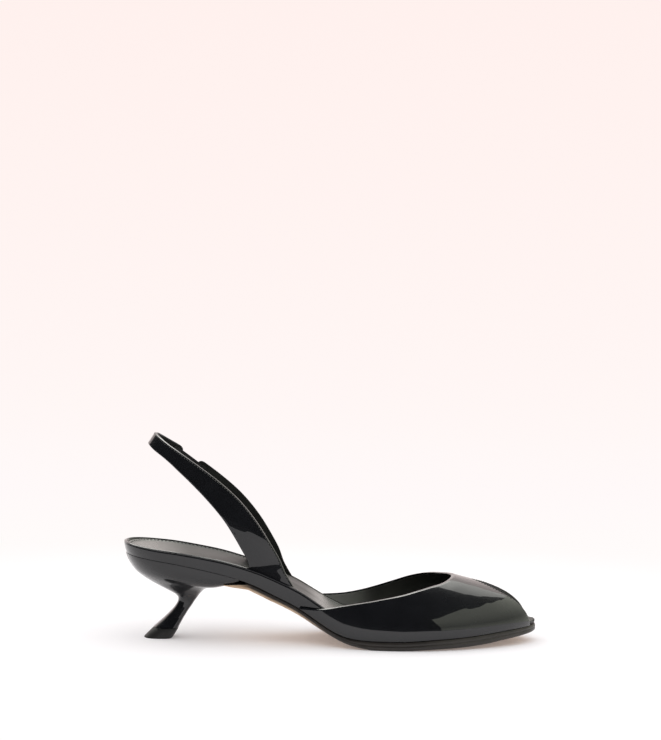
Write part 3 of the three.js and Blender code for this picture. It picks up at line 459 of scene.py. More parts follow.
# Heel tip: injection moulded polyurethane, matte, with a fine moulded grit.
def makeTipPlastic():
    material, tree, shader = newMaterial("Heel tip polyurethane, moulded", Roughness=0.55, IOR=1.5)
    place = addNode(tree, "TexCoord", output="Object")
    grit = addNode(tree, "TexNoise", Vector=place, Scale=2200.0, Detail=2.0)
    colour = addNode(tree, "ValToRGB", stops=[(0.3, "#171717"), (0.7, "#212120")], s0=grit)
    colourAndRelief(tree, shader, colour, grit, 0.4, 0.00004)
    return material


# Elastic: a woven band of covered rubber, with cords along it 0.9 mm apart.
def makeElasticWeave():
    material, tree, shader = newMaterial("Woven elastic band, polyester over rubber", Roughness=0.75)
    flow = addNode(tree, "Attribute", {"attribute_name": "flow"}, output="Vector")
    picks = addNode(tree, "TexWave", {"bands_direction": "X"}, Vector=flow, Scale=0.7)
    colour = addNode(tree, "ValToRGB", stops=[(0.2, "#0d0d0d"), (0.8, "#1c1c1c")], s0=picks)
    colourAndRelief(tree, shader, colour, picks, 0.7, 0.0001)
    return material


# Thread: bonded polyester, twisted, semi-gloss.
def makeThread(name, low, high):
    material, tree, shader = newMaterial(name, Roughness=0.38, IOR=1.5)
    place = addNode(tree, "TexCoord", output="Object")
    twist = addNode(tree, "TexNoise", Vector=place, Scale=3500.0, Detail=1.0)
    colour = addNode(tree, "ValToRGB", stops=[(0.3, low), (0.7, high)], s0=twist)
    colourAndRelief(tree, shader, colour, twist, 0.5, 0.00003)
    return material


patent = makePatent("Patent leather, polyurethane film cast on black split", 0.00015)
strapPatent = makePatent("Patent leather, polyurethane film, stretched flat on the straps", 0.00004)
sockLeather = makeSockLeather()
liningLeather = makeLiningLeather(
    "Goat lining leather, olive grey", ("#3a3b37", "#484944"), ("#7a7b76", "#8e8f89"), 0.4,
)
blackTones = ("#191a18", "#232421")
strapLining = makeLiningLeather("Goat lining leather, black", blackTones, blackTones, 0.12)
soleLeather = makeSoleLeather()
tipPlastic = makeTipPlastic()
elasticWeave = makeElasticWeave()
thread = makeThread("Bonded polyester thread, grey", "#4a4a48", "#6c6c69")
darkThread = makeThread("Bonded polyester thread, black", "#0c0c0c", "#161616")
print("materials made")


# The last: feather line, outline and centre line. rise is a share of the drop from heel to
# ball, lift of the toe spring; seat, waist and ball mix the three widths; shift is the middle
# of the bottom, as a share of the ball's width.

last = {
    "length": 236.6, "ball": 76.0, "waist": 47.6, "seat": 51.0, "heel": 49.0, "spring": 5.2,
    "sole": 4.8, "proud": 0.9, "gap": 0.3, "heelRound": 30.0, "heelPower": 2.3,
    "toeRound": 71.0, "toePoint": 1.6, "toeBlend": 0.003,
}
featherTable = {
    "along": [0, 0.062, 0.107, 0.137, 0.167, 0.197, 0.2265, 0.256, 0.2865, 0.323, 0.347, 0.377,
              0.403, 0.418, 0.433, 0.448, 0.463, 0.478, 0.4925, 0.507, 0.522, 0.536, 0.551, 0.566,
              0.6, 0.66, 0.7, 0.74, 0.79, 0.83, 0.857, 0.889, 0.92, 0.955, 1.0],
    "rise": [1, 0.961, 0.927, 0.8975, 0.8655, 0.8315, 0.795, 0.752, 0.7005, 0.622, 0.558, 0.4805,
             0.4145, 0.371, 0.3235, 0.271, 0.2185, 0.1665, 0.1205, 0.08, 0.048, 0.027, 0.0135, 0.0055,
             0, 0, 0, 0, 0, 0, 0, 0, 0, 0, 0],
    "lift": [0, 0, 0, 0, 0, 0, 0, 0, 0, 0, 0, 0, 0, 0, 0, 0, 0, 0, 0, 0, 0, 0, 0, 0, 0, 0,
             0.106, 0.221, 0.317, 0.423, 0.52, 0.654, 0.788, 0.894, 1.0],
}
outlineTable = {
    "along": [0.0, 0.19, 0.29, 0.37, 0.44, 0.51, 0.57, 0.63, 0.68, 0.78, 0.9, 1.0],
    "seat": [1, 1, 0.45, 0, 0, 0, 0, 0, 0, 0, 0, 0],
    "waist": [0, 0, 0.55, 1, 0.84, 0.46, 0.18, 0.04, 0, 0, 0, 0],
    "ball": [0, 0, 0, 0, 0.16, 0.54, 0.82, 0.96, 1, 1, 1, 1],
    "shift": [0, 0, -0.006, -0.014, -0.022, -0.034, -0.045, -0.052, -0.05, -0.028, 0.014, 0.036],
}
riseAt = curve(featherTable, "along", "rise")
liftAt = curve(featherTable, "along", "lift", 0.012)
widthCurves = {k: curve(outlineTable, "along", k, 0.02) for k in ("seat", "waist", "ball")}
shiftAt = curve(outlineTable, "along", "shift", 0.02)
lastTip = last["length"] - last["proud"]
soleTop = last["sole"] + last["gap"]


# Height where upper and sole meet: the sole's top, plus rise and lift of their two drops.
def feather(x):
    along = x / last["length"]
    return soleTop + (last["heel"] - soleTop) * riseAt(along) + last["spring"] * liftAt(along)


def centre(x):
    return last["ball"] * shiftAt(x / last["length"])


# c to the power toePoint, rounded near 0 so that the outline's bend starts gently.
def toeCurve(c):
    power, blend = last["toePoint"] / 2, last["toeBlend"]
    return ((c * c + blend) ** power - blend ** power) / ((1 + blend) ** power - blend ** power)


# Half width of the last's bottom: the mixed widths, drawn in by a round heel and an almond toe.
def halfWidth(x, grow=0.0):
    along = x / last["length"]
    widths = sum(widthCurves[k](along) * last[k] for k in widthCurves)
    back = np.clip((x + grow) / (last["heelRound"] + grow), 0, 1)
    front = np.clip((lastTip + grow - x) / (last["toeRound"] + grow), 0, 1)
    heelShare = np.sqrt(np.maximum(0, 1 - (1 - back) ** last["heelPower"]))
    toeShare = np.sqrt(np.maximum(0, 1 - toeCurve(1 - front)))
    return np.maximum(0, widths / 2 + grow) * heelShare * toeShare


# Places along the outline from heel to tip, crowded where it turns round: quarter turns at
# both ends and even steps between.
def outlineRun(grow, steps, start=None):
    theta = np.linspace(0, math.pi / 2, steps)
    reachBack = last["heelRound"] + grow
    reachFront = last["toeRound"] + grow
    heel = -grow + reachBack * (1 - np.cos(theta) ** (2 / last["heelPower"]))
    toe = lastTip + grow - reachFront * (1 - np.sin(theta) ** (2 / last["toePoint"]))
    middle = np.linspace(last["heelRound"], lastTip - last["toeRound"], steps * 2)[1:-1]
    xs = np.unique(np.round(np.concatenate([heel, middle, toe]), 6))
    return xs if start is None else np.concatenate([[start], xs[xs > start + 0.05]])


# The closed outline as an even run of points with its outward normals: from the tip down
# the outer side, round the heel and back up the inner side.
def outlineLoop(half, xs, count):
    outer = np.stack([xs, centre(xs) - half(xs)], -1)
    inner = np.stack([xs, centre(xs) + half(xs)], -1)
    loop = np.concatenate([outer[::-1], inner])
    keep = np.concatenate([[True], np.linalg.norm(np.diff(loop, axis=0), axis=1) > 1e-4])
    loop = loop[keep]
    loop = np.concatenate([loop, loop[:1]])
    run = runAlong(loop)
    at = np.linspace(0, run[-1], count + 1)[:-1]
    even = np.stack([np.interp(at, run, loop[:, k]) for k in (0, 1)], -1)
    ahead = unit(np.roll(even, -1, 0) - np.roll(even, 1, 0))
    # the run turns clockwise seen from above, so its left hand looks outwards
    normal = np.stack([-ahead[:, 1], ahead[:, 0]], -1)
    return even, normal


# A slab on an outline: its bottom runs from the spine to the edge, its side follows a profile
# of (inset, share of the height, lift in mm), and its cover runs back to the spine.
def slabPoints(loop, normal, profile, bottom, top, spineEnds, cover=None, sheets=14):
    cover = cover or top
    spineX = np.clip(loop[:, 0], *spineEnds)
    spine = np.stack([spineX, centre(spineX)], -1)
    edgeAt = [loop - normal * inset for inset, _, _ in profile]
    across = np.linspace(0, 1, sheets) ** 0.7
    columns = []
    for t in across[:-1]:
        p = lerp(spine, edgeAt[0], t)
        columns.append(stack(p[:, 0], p[:, 1], bottom(p[:, 0], p[:, 1])))
    for p, (_, share, lift) in zip(edgeAt, profile):
        low, high = bottom(p[:, 0], p[:, 1]), top(p[:, 0], p[:, 1])
        columns.append(stack(p[:, 0], p[:, 1], lerp(low, high, share) + lift))
    for t in across[::-1][1:]:
        p = lerp(spine, edgeAt[-1], t)
        columns.append(stack(p[:, 0], p[:, 1], cover(p[:, 0], p[:, 1])))
    return np.stack(columns, 1)


# Rows of a side profile round a corner of the given radius: a lower or an upper one.
def lowerCorner(radius, inset=0.0, count=6):
    turns = np.linspace(0, math.pi / 2, count)
    return [(inset + radius * (1 - math.sin(a)), 0, radius * (1 - math.cos(a))) for a in turns]


def upperCorner(radius, lift=0.0, count=6):
    turns = np.linspace(0, math.pi / 2, count)
    return [(radius * (1 - math.cos(a)), 1, lift - radius * (1 - math.sin(a))) for a in turns]


# The worked edge of folded leather: it slopes up from the outer face to the inner one. across
# runs from face to face, up is in thicknesses.
edgeAcross = np.array([0.04, 0.12, 0.25, 0.5, 0.75, 0.9, 0.97])
edgeUp = np.array([0.12, 0.25, 0.4, 0.65, 0.88, 0.98, 0.88])


# Stitches: one short capsule per stitch, laid along a line of points with its own side
# direction; each has 6 sides and 5 rings, so hundreds of them stay light.
def stitchRow(name, path, away, size, material):
    run = runAlong(path)
    count = max(1, int((run[-1] - size["length"]) / size["pitch"]))
    spare = run[-1] - size["pitch"] * (count - 1) - size["length"]
    starts = size["pitch"] * np.arange(count) + spare / 2
    rings = np.array([0.0, 0.12, 0.5, 0.88, 1.0])
    girth = np.array([0.0, 0.75, 1.0, 0.75, 0.0])
    dip = np.array([-0.8, -0.1, 0.25, -0.1, -0.8])
    at = starts[:, None] + rings[None, :] * size["length"]
    sample = lambda data: np.stack([np.interp(at, run, data[:, k]) for k in range(3)], -1)
    line, outwards = sample(path), unit(sample(away))
    ahead = unit(np.gradient(line, axis=1))
    beside = unit(np.cross(ahead, outwards))
    turn = np.linspace(0, 2 * math.pi, 7)[:-1]
    radius = size["thick"] / 2 * girth[None, :, None, None]
    ringShape = (beside[:, :, None] * np.cos(turn)[None, None, :, None]
                 + outwards[:, :, None] * np.sin(turn)[None, None, :, None])
    lift = outwards * (dip[None, :, None] * size["thick"] / 2)
    points = (line + lift)[:, :, None] + ringShape * radius
    rows, sides = len(rings), len(turn)
    cells = gridFaces(rows, sides, "columns")
    faces = (cells[None] + (np.arange(count) * rows * sides)[:, None, None]).reshape(-1, 4)
    makePiece(name, points, material, faces=faces)


# Footbed: a board wrapped in patent. Its side leans in at the foot. The wrap ends in a rolled
# rim, which slopes outwards and stands off the side by a fine groove.

footbed = {
    "height": 7.0, "lean": 1.3, "rim": 1.4, "rimProud": 0.4, "foot": 0.2, "corner": 0.28, "steps": 900,
    "toeWrap": 3.4, "dish": 1.6, "slope": 0.4, "grooveDown": 1.05, "groove": 0.14, "bedDown": 2.0,
}
bandTable = {
    "along": [0, 0.077, 0.137, 0.196, 0.241, 0.286, 0.32, 0.346, 0.395, 0.422, 0.475, 0.51, 0.55,
              0.6, 0.65, 0.7, 0.8, 0.9, 0.96, 1.0],
    "band": [1.0, 0.96, 1.045, 1.105, 1.165, 1.2, 1.28, 1.37, 1.43, 1.46, 1.49, 1.46, 1.2, 0.93,
             0.74, 0.6, 0.5, 0.45, 0.4, 0.37],
    "dish": [1, 1, 1, 0.9, 0.75, 0.55, 0.4, 0.3, 0.2, 0.2, 0.2, 0.2, 0.2, 0.3, 0.3, 0.3, 0.25, 0.2,
             0.15, 0.1],
}
bandAt = curve(bandTable, "along", "band", 0.014)
dishAt = curve(bandTable, "along", "dish", 0.02)


def bandTop(x):
    return feather(x) + footbed["height"] * bandAt(x / last["length"])


# The sock's top: just under the rim, and dished across as a parabola.
def sockTop(x, y):
    off = np.clip((y - centre(x)) / np.maximum(halfWidth(x), 1), -1, 1)
    return bandTop(x) - footbed["rimProud"] - footbed["dish"] * dishAt(x / last["length"]) * (1 - off * off)


def makeFootbed():
    tip = lastTip - footbed["toeWrap"] - last["gap"]
    xs = outlineRun(0, 160)
    xs = xs[xs < tip]
    loop, normal = outlineLoop(halfWidth, xs, footbed["steps"])
    groove = -footbed["grooveDown"]
    start, end = footbed["foot"], groove - 0.22
    side = [(footbed["lean"] * (1 - t) ** 1.6, t, lerp(start, end, t)) for t in np.linspace(0, 1, 12)]
    notch = [(footbed["groove"] * 0.7, 1, groove - 0.08), (footbed["groove"], 1, groove),
             (footbed["groove"] * 0.5, 1, groove + 0.08), (0.0, 1, groove + 0.2)]
    slope = [
        (t * (footbed["rim"] - 0.2), 1, -footbed["slope"] * (1 - t) ** 1.3)
        for t in (0.35, 0.5, 0.65, 0.8, 1)
    ]
    well = [(footbed["rim"], 1, -0.2), (footbed["rim"], 1, -footbed["rimProud"] - footbed["bedDown"])]
    profile = lowerCorner(footbed["foot"], footbed["lean"])[:-1] + side + notch
    profile += upperCorner(footbed["corner"], -footbed["slope"]) + slope + well
    points = slabPoints(
        loop, normal, profile, lambda x, y: feather(x), lambda x, y: bandTop(x), (20, 200),
        cover=lambda x, y: sockTop(x, y) - footbed["bedDown"],
    )
    makePiece("footbed_wrap", points, patent, ["footbed"], close="rows", sharp=50)


makeFootbed()
print("footbed made")


# Sock: the lining sheet that lies inside the rim, with stitches round its heel end and pressed lines.

sock = {
    "thickness": 1.5, "round": 0.45, "widens": (0.84, 0.92), "noseGrow": 0.6,
    "lines": [1.2, 2.9, 3.6], "lineDepth": 0.14, "lineWide": 0.2,
    "stitchInset": 2.0, "stitch": {"length": 1.5, "pitch": 2.3, "thick": 0.6},
}


def makeSock():
    inset = footbed["rim"] + last["gap"]
    noseTip = last["length"] - last["gap"]

    def half(x):
        along = x / last["length"]
        beside = lerp(-inset, -last["gap"], ease(along, *sock["widens"]))
        swell = ease(x, noseTip - footbed["toeWrap"] * sock["noseGrow"], noseTip)
        grow = lerp(beside, last["proud"] - last["gap"], swell)
        return halfWidth(np.minimum(x, lastTip + grow), grow)
    xs = outlineRun(0, 160)
    xs = np.unique(np.concatenate([[inset + 0.01], xs[(xs > inset) & (xs < noseTip - 0.05)], [noseTip]]))
    loop, normal = outlineLoop(half, xs, 900)
    profile = [(0, 0, 0), (0, 0.5, 0)] + upperCorner(sock["round"])
    for line in sock["lines"]:
        for side in (-1, 0, 1):
            profile.append((line + side * sock["lineWide"], 1, -sock["lineDepth"] * (side == 0)))
    points = slabPoints(
        loop, normal, profile, lambda x, y: sockTop(x, y) - sock["thickness"], sockTop, (22, 205),
        sheets=40,
    )
    makePiece("sock_sheet", points, sockLeather, ["sock"], close="rows")
    back = loop[:, 0] < 0.33 * last["length"]
    start = int(np.argmax(back))
    end = len(back) - int(np.argmax(back[::-1]))
    line = (loop - normal * sock["stitchInset"])[start:end]
    path = stack(line[:, 0], line[:, 1], sockTop(line[:, 0], line[:, 1]) + 0.02)
    away = np.zeros_like(path)
    away[:, 2] = 1
    stitchRow("sock_stitches", path, away, sock["stitch"], darkThread)


makeSock()
print("sock made")


# Outsole: thin and inset under the arch, full under the forefoot, with an inked edge round the
# forefoot and painted shade along the top of its edge under the arch.

outsole = {"chamfer": 0.8, "steps": 900, "groove": 0.16, "grooveAt": 0.55, "inkFrom": (0.4, 0.5),
           "topInkAndShadeFrom": (0.27, 0.31)}
soleTable = {
    "along": [0.24, 0.263, 0.287, 0.302, 0.317, 0.347, 0.377, 0.403, 0.433, 0.463, 0.49, 0.507,
              0.536, 0.566, 0.6, 0.66, 0.708, 0.755, 0.805, 0.857, 0.912, 1.0],
    "drop": [1.19, 0.79, 0.354, 0.0625, 0.0625, 0.0625, 0.0625, 0.0625, 0.0625, 0.0625, 0.0625,
             0.0625, 0.0625, 0.0625, 0.0625, 0.0625, 0.0625, 0.0625, 0.0625, 0.0625, 0.0625, 0.0625],
    "thick": [0.1, 0.42, 0.62, 0.8, 0.86, 0.86, 0.8, 0.8, 0.76, 0.7, 0.62, 0.62, 0.72, 0.845,
              1.0, 1.0, 1.04, 1.08, 1.1, 1.1, 1.0, 0.8],
    "edge": [-3.2, -3.2, -3.1, -3.0, -2.9, -2.7, -2.3, -1.9, -1.4, -0.8, -0.2, 0.2, 0.7, 1.0, 1.0,
             1.0, 1.0, 1.0, 1.0, 1.0, 1.0, 1.0],
}
dropAt = curve(soleTable, "along", "drop", 0.004)
thickAt = curve(soleTable, "along", "thick", 0.008)
edgeAt = curve(soleTable, "along", "edge", 0.02)


def soleUpper(x):
    return feather(x) - np.maximum(last["gap"], dropAt(x / last["length"]) * last["sole"])


def soleUnder(x):
    return np.maximum(0, soleUpper(x) - thickAt(x / last["length"]) * last["sole"])


def makeOutsole():
    start = soleTable["along"][0] * last["length"]

    def half(x):
        edge = edgeAt(x / last["length"]) * last["proud"]
        return halfWidth(np.minimum(x, last["length"]), edge)
    xs = outlineRun(last["proud"], 160, start)
    loop, normal = outlineLoop(half, xs, outsole["steps"])
    step = outsole["chamfer"] / last["sole"]
    groove = outsole["grooveAt"]
    profile = [(outsole["chamfer"] * (1 - t), step * t ** 1.3, 0) for t in np.linspace(0, 1, 5)]
    profile += [(0, groove - 0.05, 0), (outsole["groove"], groove, 0), (0, groove + 0.05, 0), (0, 0.72, 0),
                (0.06, 0.84, 0), (0.26, 0.94, 0), (0.5, 1.0, 0)]
    points = slabPoints(
        loop, normal, profile, lambda x, y: soleUnder(x), lambda x, y: soleUpper(x), (start + 3, 205),
    )
    # the edge is inked round the forefoot; under the arch only its top is dark, as painted shade
    # of the gap under the band
    along = points[..., 0] / last["length"]
    forefoot = ease(along, *outsole["inkFrom"])
    inkAndShade = np.zeros(points.shape[:2])
    inkAndShade[:, 13:18] = forefoot[:, 13:18]
    # the upper half of the edge: painted shade under the arch, ink round the forefoot
    inkAndShade[:, 18:22] = ease(along, *outsole["topInkAndShadeFrom"])[:, 18:22]
    inkAndShade[:, 22:] = 1
    makePiece("outsole_leather", points, soleLeather, ["outsole"], close="rows",
              notes={"inkAndShade": inkAndShade}, sharp=40)


makeOutsole()
print("outsole made")


# Heel: level by level from the seat to its tip, each level a D in plan. back and front are
# shares of the shoe's length, backUp and frontUp of the heel's height, wide runs from neck to seat.

heel = {"neck": 11.6, "tipWide": 17.6, "tipHigh": 5.7, "tipFlare": 0.9, "sides": 160, "levels": 220,
        "breast": 0.45, "round": 0.92, "flank": 0.8, "close": 30, "seam": 0.2, "under": 0.04}
heelTable = {
    "level": [0, 0.05, 0.11, 0.17, 0.23, 0.29, 0.35, 0.41, 0.47, 0.52, 0.57, 0.62, 0.7, 0.82],
    "back": [0.0045, 0.0075, 0.0145, 0.026, 0.043, 0.0635, 0.087, 0.11, 0.1265, 0.132, 0.131,
             0.127, 0.1175, 0.0995],
    "backUp": [1.0, 0.945, 0.875, 0.797, 0.73, 0.668, 0.606, 0.55, 0.503, 0.464, 0.426, 0.386,
               0.326, 0.236],
    "front": [0.2985, 0.287, 0.266, 0.246, 0.2285, 0.2115, 0.197, 0.188, 0.182, 0.1765, 0.171,
              0.166, 0.1575, 0.147],
    "frontUp": [0.706, 0.683, 0.664, 0.642, 0.622, 0.612, 0.583, 0.54, 0.502, 0.463, 0.4265,
                0.386, 0.3265, 0.243],
    "wide": [1.0, 0.99, 0.95, 0.86, 0.72, 0.55, 0.37, 0.21, 0.09, 0.025, 0, 0, 0.012, 0.04],
    "seat": [1.0, 1.0, 0.95, 0.85, 0.7, 0.52, 0.34, 0.17, 0.06, 0, 0, 0, 0, 0],
}
# The tip's section, over its top and down to the floor: share of its height, and inset in mm.
tipSection = [(1, 40), (1, 0.35), (0.97, 0.08), (0.9, 0), (0.08, 0), (0.02, 0.12), (0, 0.3), (0, 40)]
tipPlaces = {"topBack": 0.0735, "topFront": 0.134, "floorBack": 0.05, "floorFront": 0.1195}


# A level's plan: a D with a flat front and a round back, from powers of cosine and sine.
def heelPlan(start, end, half, angle):
    forward, aside = np.cos(angle), np.sin(angle)
    power = np.where(forward > 0, heel["breast"], heel["round"])
    x = (start + end) / 2 + np.sign(forward) * np.abs(forward) ** power * (end - start) / 2
    y = half * np.sign(aside) * np.abs(aside) ** heel["flank"]
    return x, y


def makeHeel():
    columns = {k: curve(heelTable, "level", k, 0.014) for k in heelTable if k != "level"}
    levels = np.linspace(0, heelTable["level"][-1], heel["levels"])[:, None]
    angle = np.linspace(0, 2 * math.pi, heel["sides"], endpoint=False)[None, :]
    start = columns["back"](levels) * last["length"]
    end = columns["front"](levels) * last["length"]
    seat = columns["seat"](levels)
    inset = footbed["lean"] + 0.05
    seatHalf = last["seat"] / 2 - inset
    half = lerp(heel["neck"] / 2, seatHalf, columns["wide"](levels))
    shift = start - start[0]
    x, y = heelPlan(start, end, half, angle)
    t = np.clip((x - start) / (end - start), 0, 1)
    fitted = halfWidth(x - shift, -inset) * (half / seatHalf)
    closing = np.sqrt(1 - t ** heel["close"])
    y = centre(x) + lerp(y, np.sign(y) * fitted * closing, seat)
    seatLine = lambda v: feather(v) - heel["under"]
    bow = seatLine(x) - lerp(seatLine(start), seatLine(end), t)
    fade = np.clip(levels / 0.02, 0, 1)
    backZ = lerp(seatLine(start), columns["backUp"](levels) * last["heel"], fade)
    frontZ = lerp(seatLine(end), columns["frontUp"](levels) * last["heel"], fade)
    points = stack(x, y, lerp(backZ, frontZ, t) + bow * seat)
    # the seat's edge is rounded, so a fine dark seam shows under the band
    seatTop = points[0]
    points[..., 2] = np.minimum(points[..., 2], seatTop[:, 2] - heel["seam"])
    ahead = unit(np.roll(seatTop, -1, 0) - np.roll(seatTop, 1, 0))
    outwards = stack(ahead[:, 1], -ahead[:, 0], 0 * ahead[:, 0])
    corner = [
        seatTop - outwards * inset + np.array([0, 0, lift])
        for inset, _, lift in upperCorner(heel["seam"])[::-1]
    ]
    points = np.concatenate([np.stack(corner), points])
    topX, topY = heelPlan(tipPlaces["topBack"] * last["length"], tipPlaces["topFront"] * last["length"],
                          heel["tipWide"] / 2 * heel["tipFlare"], angle)
    foot = stack(topX, centre(topX) + topY, heel["tipHigh"] + last["gap"])[0]
    below = np.linspace(0, 1, 24)[1:, None, None]
    points = np.concatenate([points, lerp(points[-1][None], foot[None], below)])
    makePiece("heel_wrap", closeEnds(points), patent, ["heel"], sharp=50)


def makeHeelTip():
    angle = np.linspace(0, 2 * math.pi, heel["sides"], endpoint=False)
    rows = []
    for share, inset in tipSection:
        start = lerp(tipPlaces["floorBack"], tipPlaces["topBack"], share) * last["length"]
        end = lerp(tipPlaces["floorFront"], tipPlaces["topFront"], share) * last["length"]
        half = heel["tipWide"] / 2 * lerp(1, heel["tipFlare"], share)
        inset = min(inset, half * 0.98)
        x, y = heelPlan(start + inset, end - inset, half - inset, angle)
        rows.append(stack(x, centre(x) + y, heel["tipHigh"] * share))
    points = np.stack(rows)
    for end, row in ((0, 0), (-1, -1)):
        points[end] = points[row].mean(0)
    makePiece("heel_tip_block", points, tipPlastic, ["heel_tip"], sharp=50)


makeHeel()
makeHeelTip()
print("heel made")


# Vamp: the last's surface. crown is its height along the ridge; outer and inner are the
# topline's height on the two sides; all are shares of the throat's height.

vamp = {
    "height": 31.2, "wall": 1.6, "proud": 0.6, "bulge": 1.7, "bulgeAt": 9.0, "throat": 187.6,
    "peep": 201.5, "peepWide": 22.0, "wing": 0.42, "power": 2.05, "ridge": 0.03, "slim": 20.0,
    "throatRound": 1.3, "straight": 0.74, "corner": 1.35,
    "sideLines": 190, "peepLines": 90, "columns": 70, "fold": 1.25, "liningDrop": 1.3,
    "edgeFaces": 68.0, "edgeSlopes": (0.8, 1.7), "roundJoint": 12,
    "liningColumns": 40, "liningLap": 0.1, "stitchInset": 2.2,
    "stitch": {"length": 1.3, "pitch": 1.9, "thick": 0.3},
}
crownTable = {
    "along": [0.41, 0.5, 0.593, 0.678, 0.742, 0.795, 0.852, 0.886, 0.915, 0.941, 0.966, 0.983, 1.0],
    "crown": [1.705, 1.7, 1.49, 1.3, 1.12, 1.0, 0.856, 0.756, 0.663, 0.569, 0.436, 0.288, 0.06],
}
toplineTable = {
    "toThroat": [0, 0.07, 0.12, 0.17, 0.26, 0.36, 0.45, 0.55, 0.65, 0.72, 0.8, 0.87],
    "outer": [0.015, 0.135, 0.235, 0.345, 0.535, 0.656, 0.716, 0.776, 0.828, 0.866, 0.904, 0.935],
    "inner": [0.015, 0.13, 0.225, 0.325, 0.46, 0.556, 0.627, 0.718, 0.823, 0.893, 0.957, 1.0],
}
peepTable = {
    "toTip": [0.0, 0.1, 0.22, 0.38, 0.55, 0.75, 1.0],
    "open": [0.0, 0.26, 0.5, 0.75, 0.92, 1.0, 1.0],
}
crownAt = curve(crownTable, "along", "crown", 0.012)
toplineAt = {-1: curve(toplineTable, "toThroat", "outer", 0.012),
             1: curve(toplineTable, "toThroat", "inner", 0.012)}
peepOpen = curve(peepTable, "toTip", "open", 0.01)


# A point of the last's surface: a superellipse over each section, fuller just above the
# feather line, with its ridge towards the inner side. angle runs from 0 outside to pi inside.
def lastPoint(x, angle):
    side = np.cos(angle)
    up = np.maximum(0, np.sin(angle)) ** (2 / vamp["power"])
    out = np.sign(side) * np.abs(side) ** (2 / vamp["power"])
    height = vamp["height"] * crownAt(x / last["length"]) * up
    fullness = vamp["bulge"] * (height / vamp["bulgeAt"]) * np.exp(1 - height / vamp["bulgeAt"])
    half = halfWidth(np.minimum(x, lastTip), vamp["proud"])
    roomy = ease(half, 0, vamp["slim"] * 1.4)
    y = centre(x) + last["ball"] * vamp["ridge"] * up * up * roomy - out * (half + fullness * roomy)
    return stack(x, y, feather(x) + height)


def lastNormal(x, angle):
    h = 0.03
    safe = np.clip(angle, h, math.pi - h)
    dx = lastPoint(x + 0.2, safe) - lastPoint(x - 0.2, safe)
    da = lastPoint(x, safe + h) - lastPoint(x, safe - h)
    return unit(np.cross(dx, da))


def angleAtHeight(x, share):
    return np.arcsin(np.clip(share / crownAt(x / last["length"]), 0, 1) ** (vamp["power"] / 2))


# Half the topline, wing to throat: its table along the side, then a round U across the foot.
def topline(hand, count):
    start, end = vamp["wing"] * last["length"], vamp["throat"]
    turnAt = toplineTable["toThroat"][-1]
    turnX = lerp(start, end, turnAt)
    t = np.linspace(0, 1, count)
    sideX = lerp(start, turnX, np.minimum(t / vamp["straight"], 1))
    sideAngle = angleAtHeight(sideX, toplineAt[hand]((sideX - start) / (end - start)))
    turn = np.clip((t - vamp["straight"]) / (1 - vamp["straight"]), 0, 1) * math.pi / 2
    gone = np.sin(turn)
    across = 1 - np.sqrt(np.maximum(0, 1 - gone ** vamp["throatRound"]))
    fromAngle = angleAtHeight(turnX, toplineAt[hand](turnAt))
    onSide = t <= vamp["straight"]
    x = np.where(onSide, sideX, lerp(turnX, end, gone))
    angle = np.where(onSide, sideAngle, lerp(fromAngle, math.pi / 2, across))
    # their joint is rounded off
    reach = vamp["roundJoint"]
    even = np.ones(2 * reach + 1) / (2 * reach + 1)
    blur = lambda v: np.convolve(np.pad(v, reach, mode="reflect", reflect_type="odd"), even, mode="valid")
    return blur(x), blur(angle)


# Half the lower edge: the feather line to the opening's corner, then up the opening's side,
# found for each angle by halving the stretch in which it lies.
def lowerEdge(sideCount, peepCount):
    apex = vamp["peep"]

    def edgeX(angle):
        low = np.full_like(angle, apex)
        high = np.full_like(angle, lastTip - 0.02)
        for _ in range(40):
            x = (low + high) / 2
            across = halfWidth(x, vamp["proud"]) * np.maximum(0, np.cos(angle)) ** (2 / vamp["power"])
            opening = np.maximum(0.02, vamp["peepWide"] / 2 * peepOpen((x - apex) / (lastTip - apex)))
            wider = across > opening
            low, high = np.where(wider, x, low), np.where(wider, high, x)
        return (low + high) / 2
    peepAngle = np.linspace(0, math.pi / 2, peepCount)
    peepX = edgeX(peepAngle)
    peepX[-1] = apex
    t = np.arange(sideCount) / sideCount
    sideX = lerp(vamp["wing"] * last["length"], peepX[0], 1 - (1 - t) ** vamp["corner"])
    return np.concatenate([sideX, peepX]), np.concatenate([0 * sideX, peepAngle])


# All the vamp's lines, outer wing to inner wing: place and angle at the topline and below.
def vampLines():
    lowX, lowAngle = lowerEdge(vamp["sideLines"], vamp["peepLines"])
    halves = []
    for hand in (-1, 1):
        x, angle = topline(hand, len(lowX))
        half = np.stack([x, angle, lowX, lowAngle], -1)
        if hand > 0:
            half[:, 1] = math.pi - half[:, 1]
            half[:, 3] = math.pi - half[:, 3]
            half = half[::-1][1:]
        halves.append(half)
    return np.concatenate(halves)


# Surface and normal at shares t of the lines, from the topline (0) to the lower edge (1).
def vampSurface(lines, t):
    x = lerp(lines[:, None, 0], lines[:, None, 2], t)
    angle = lerp(lines[:, None, 1], lines[:, None, 3], t)
    return lastPoint(x, angle), lastNormal(x, angle)


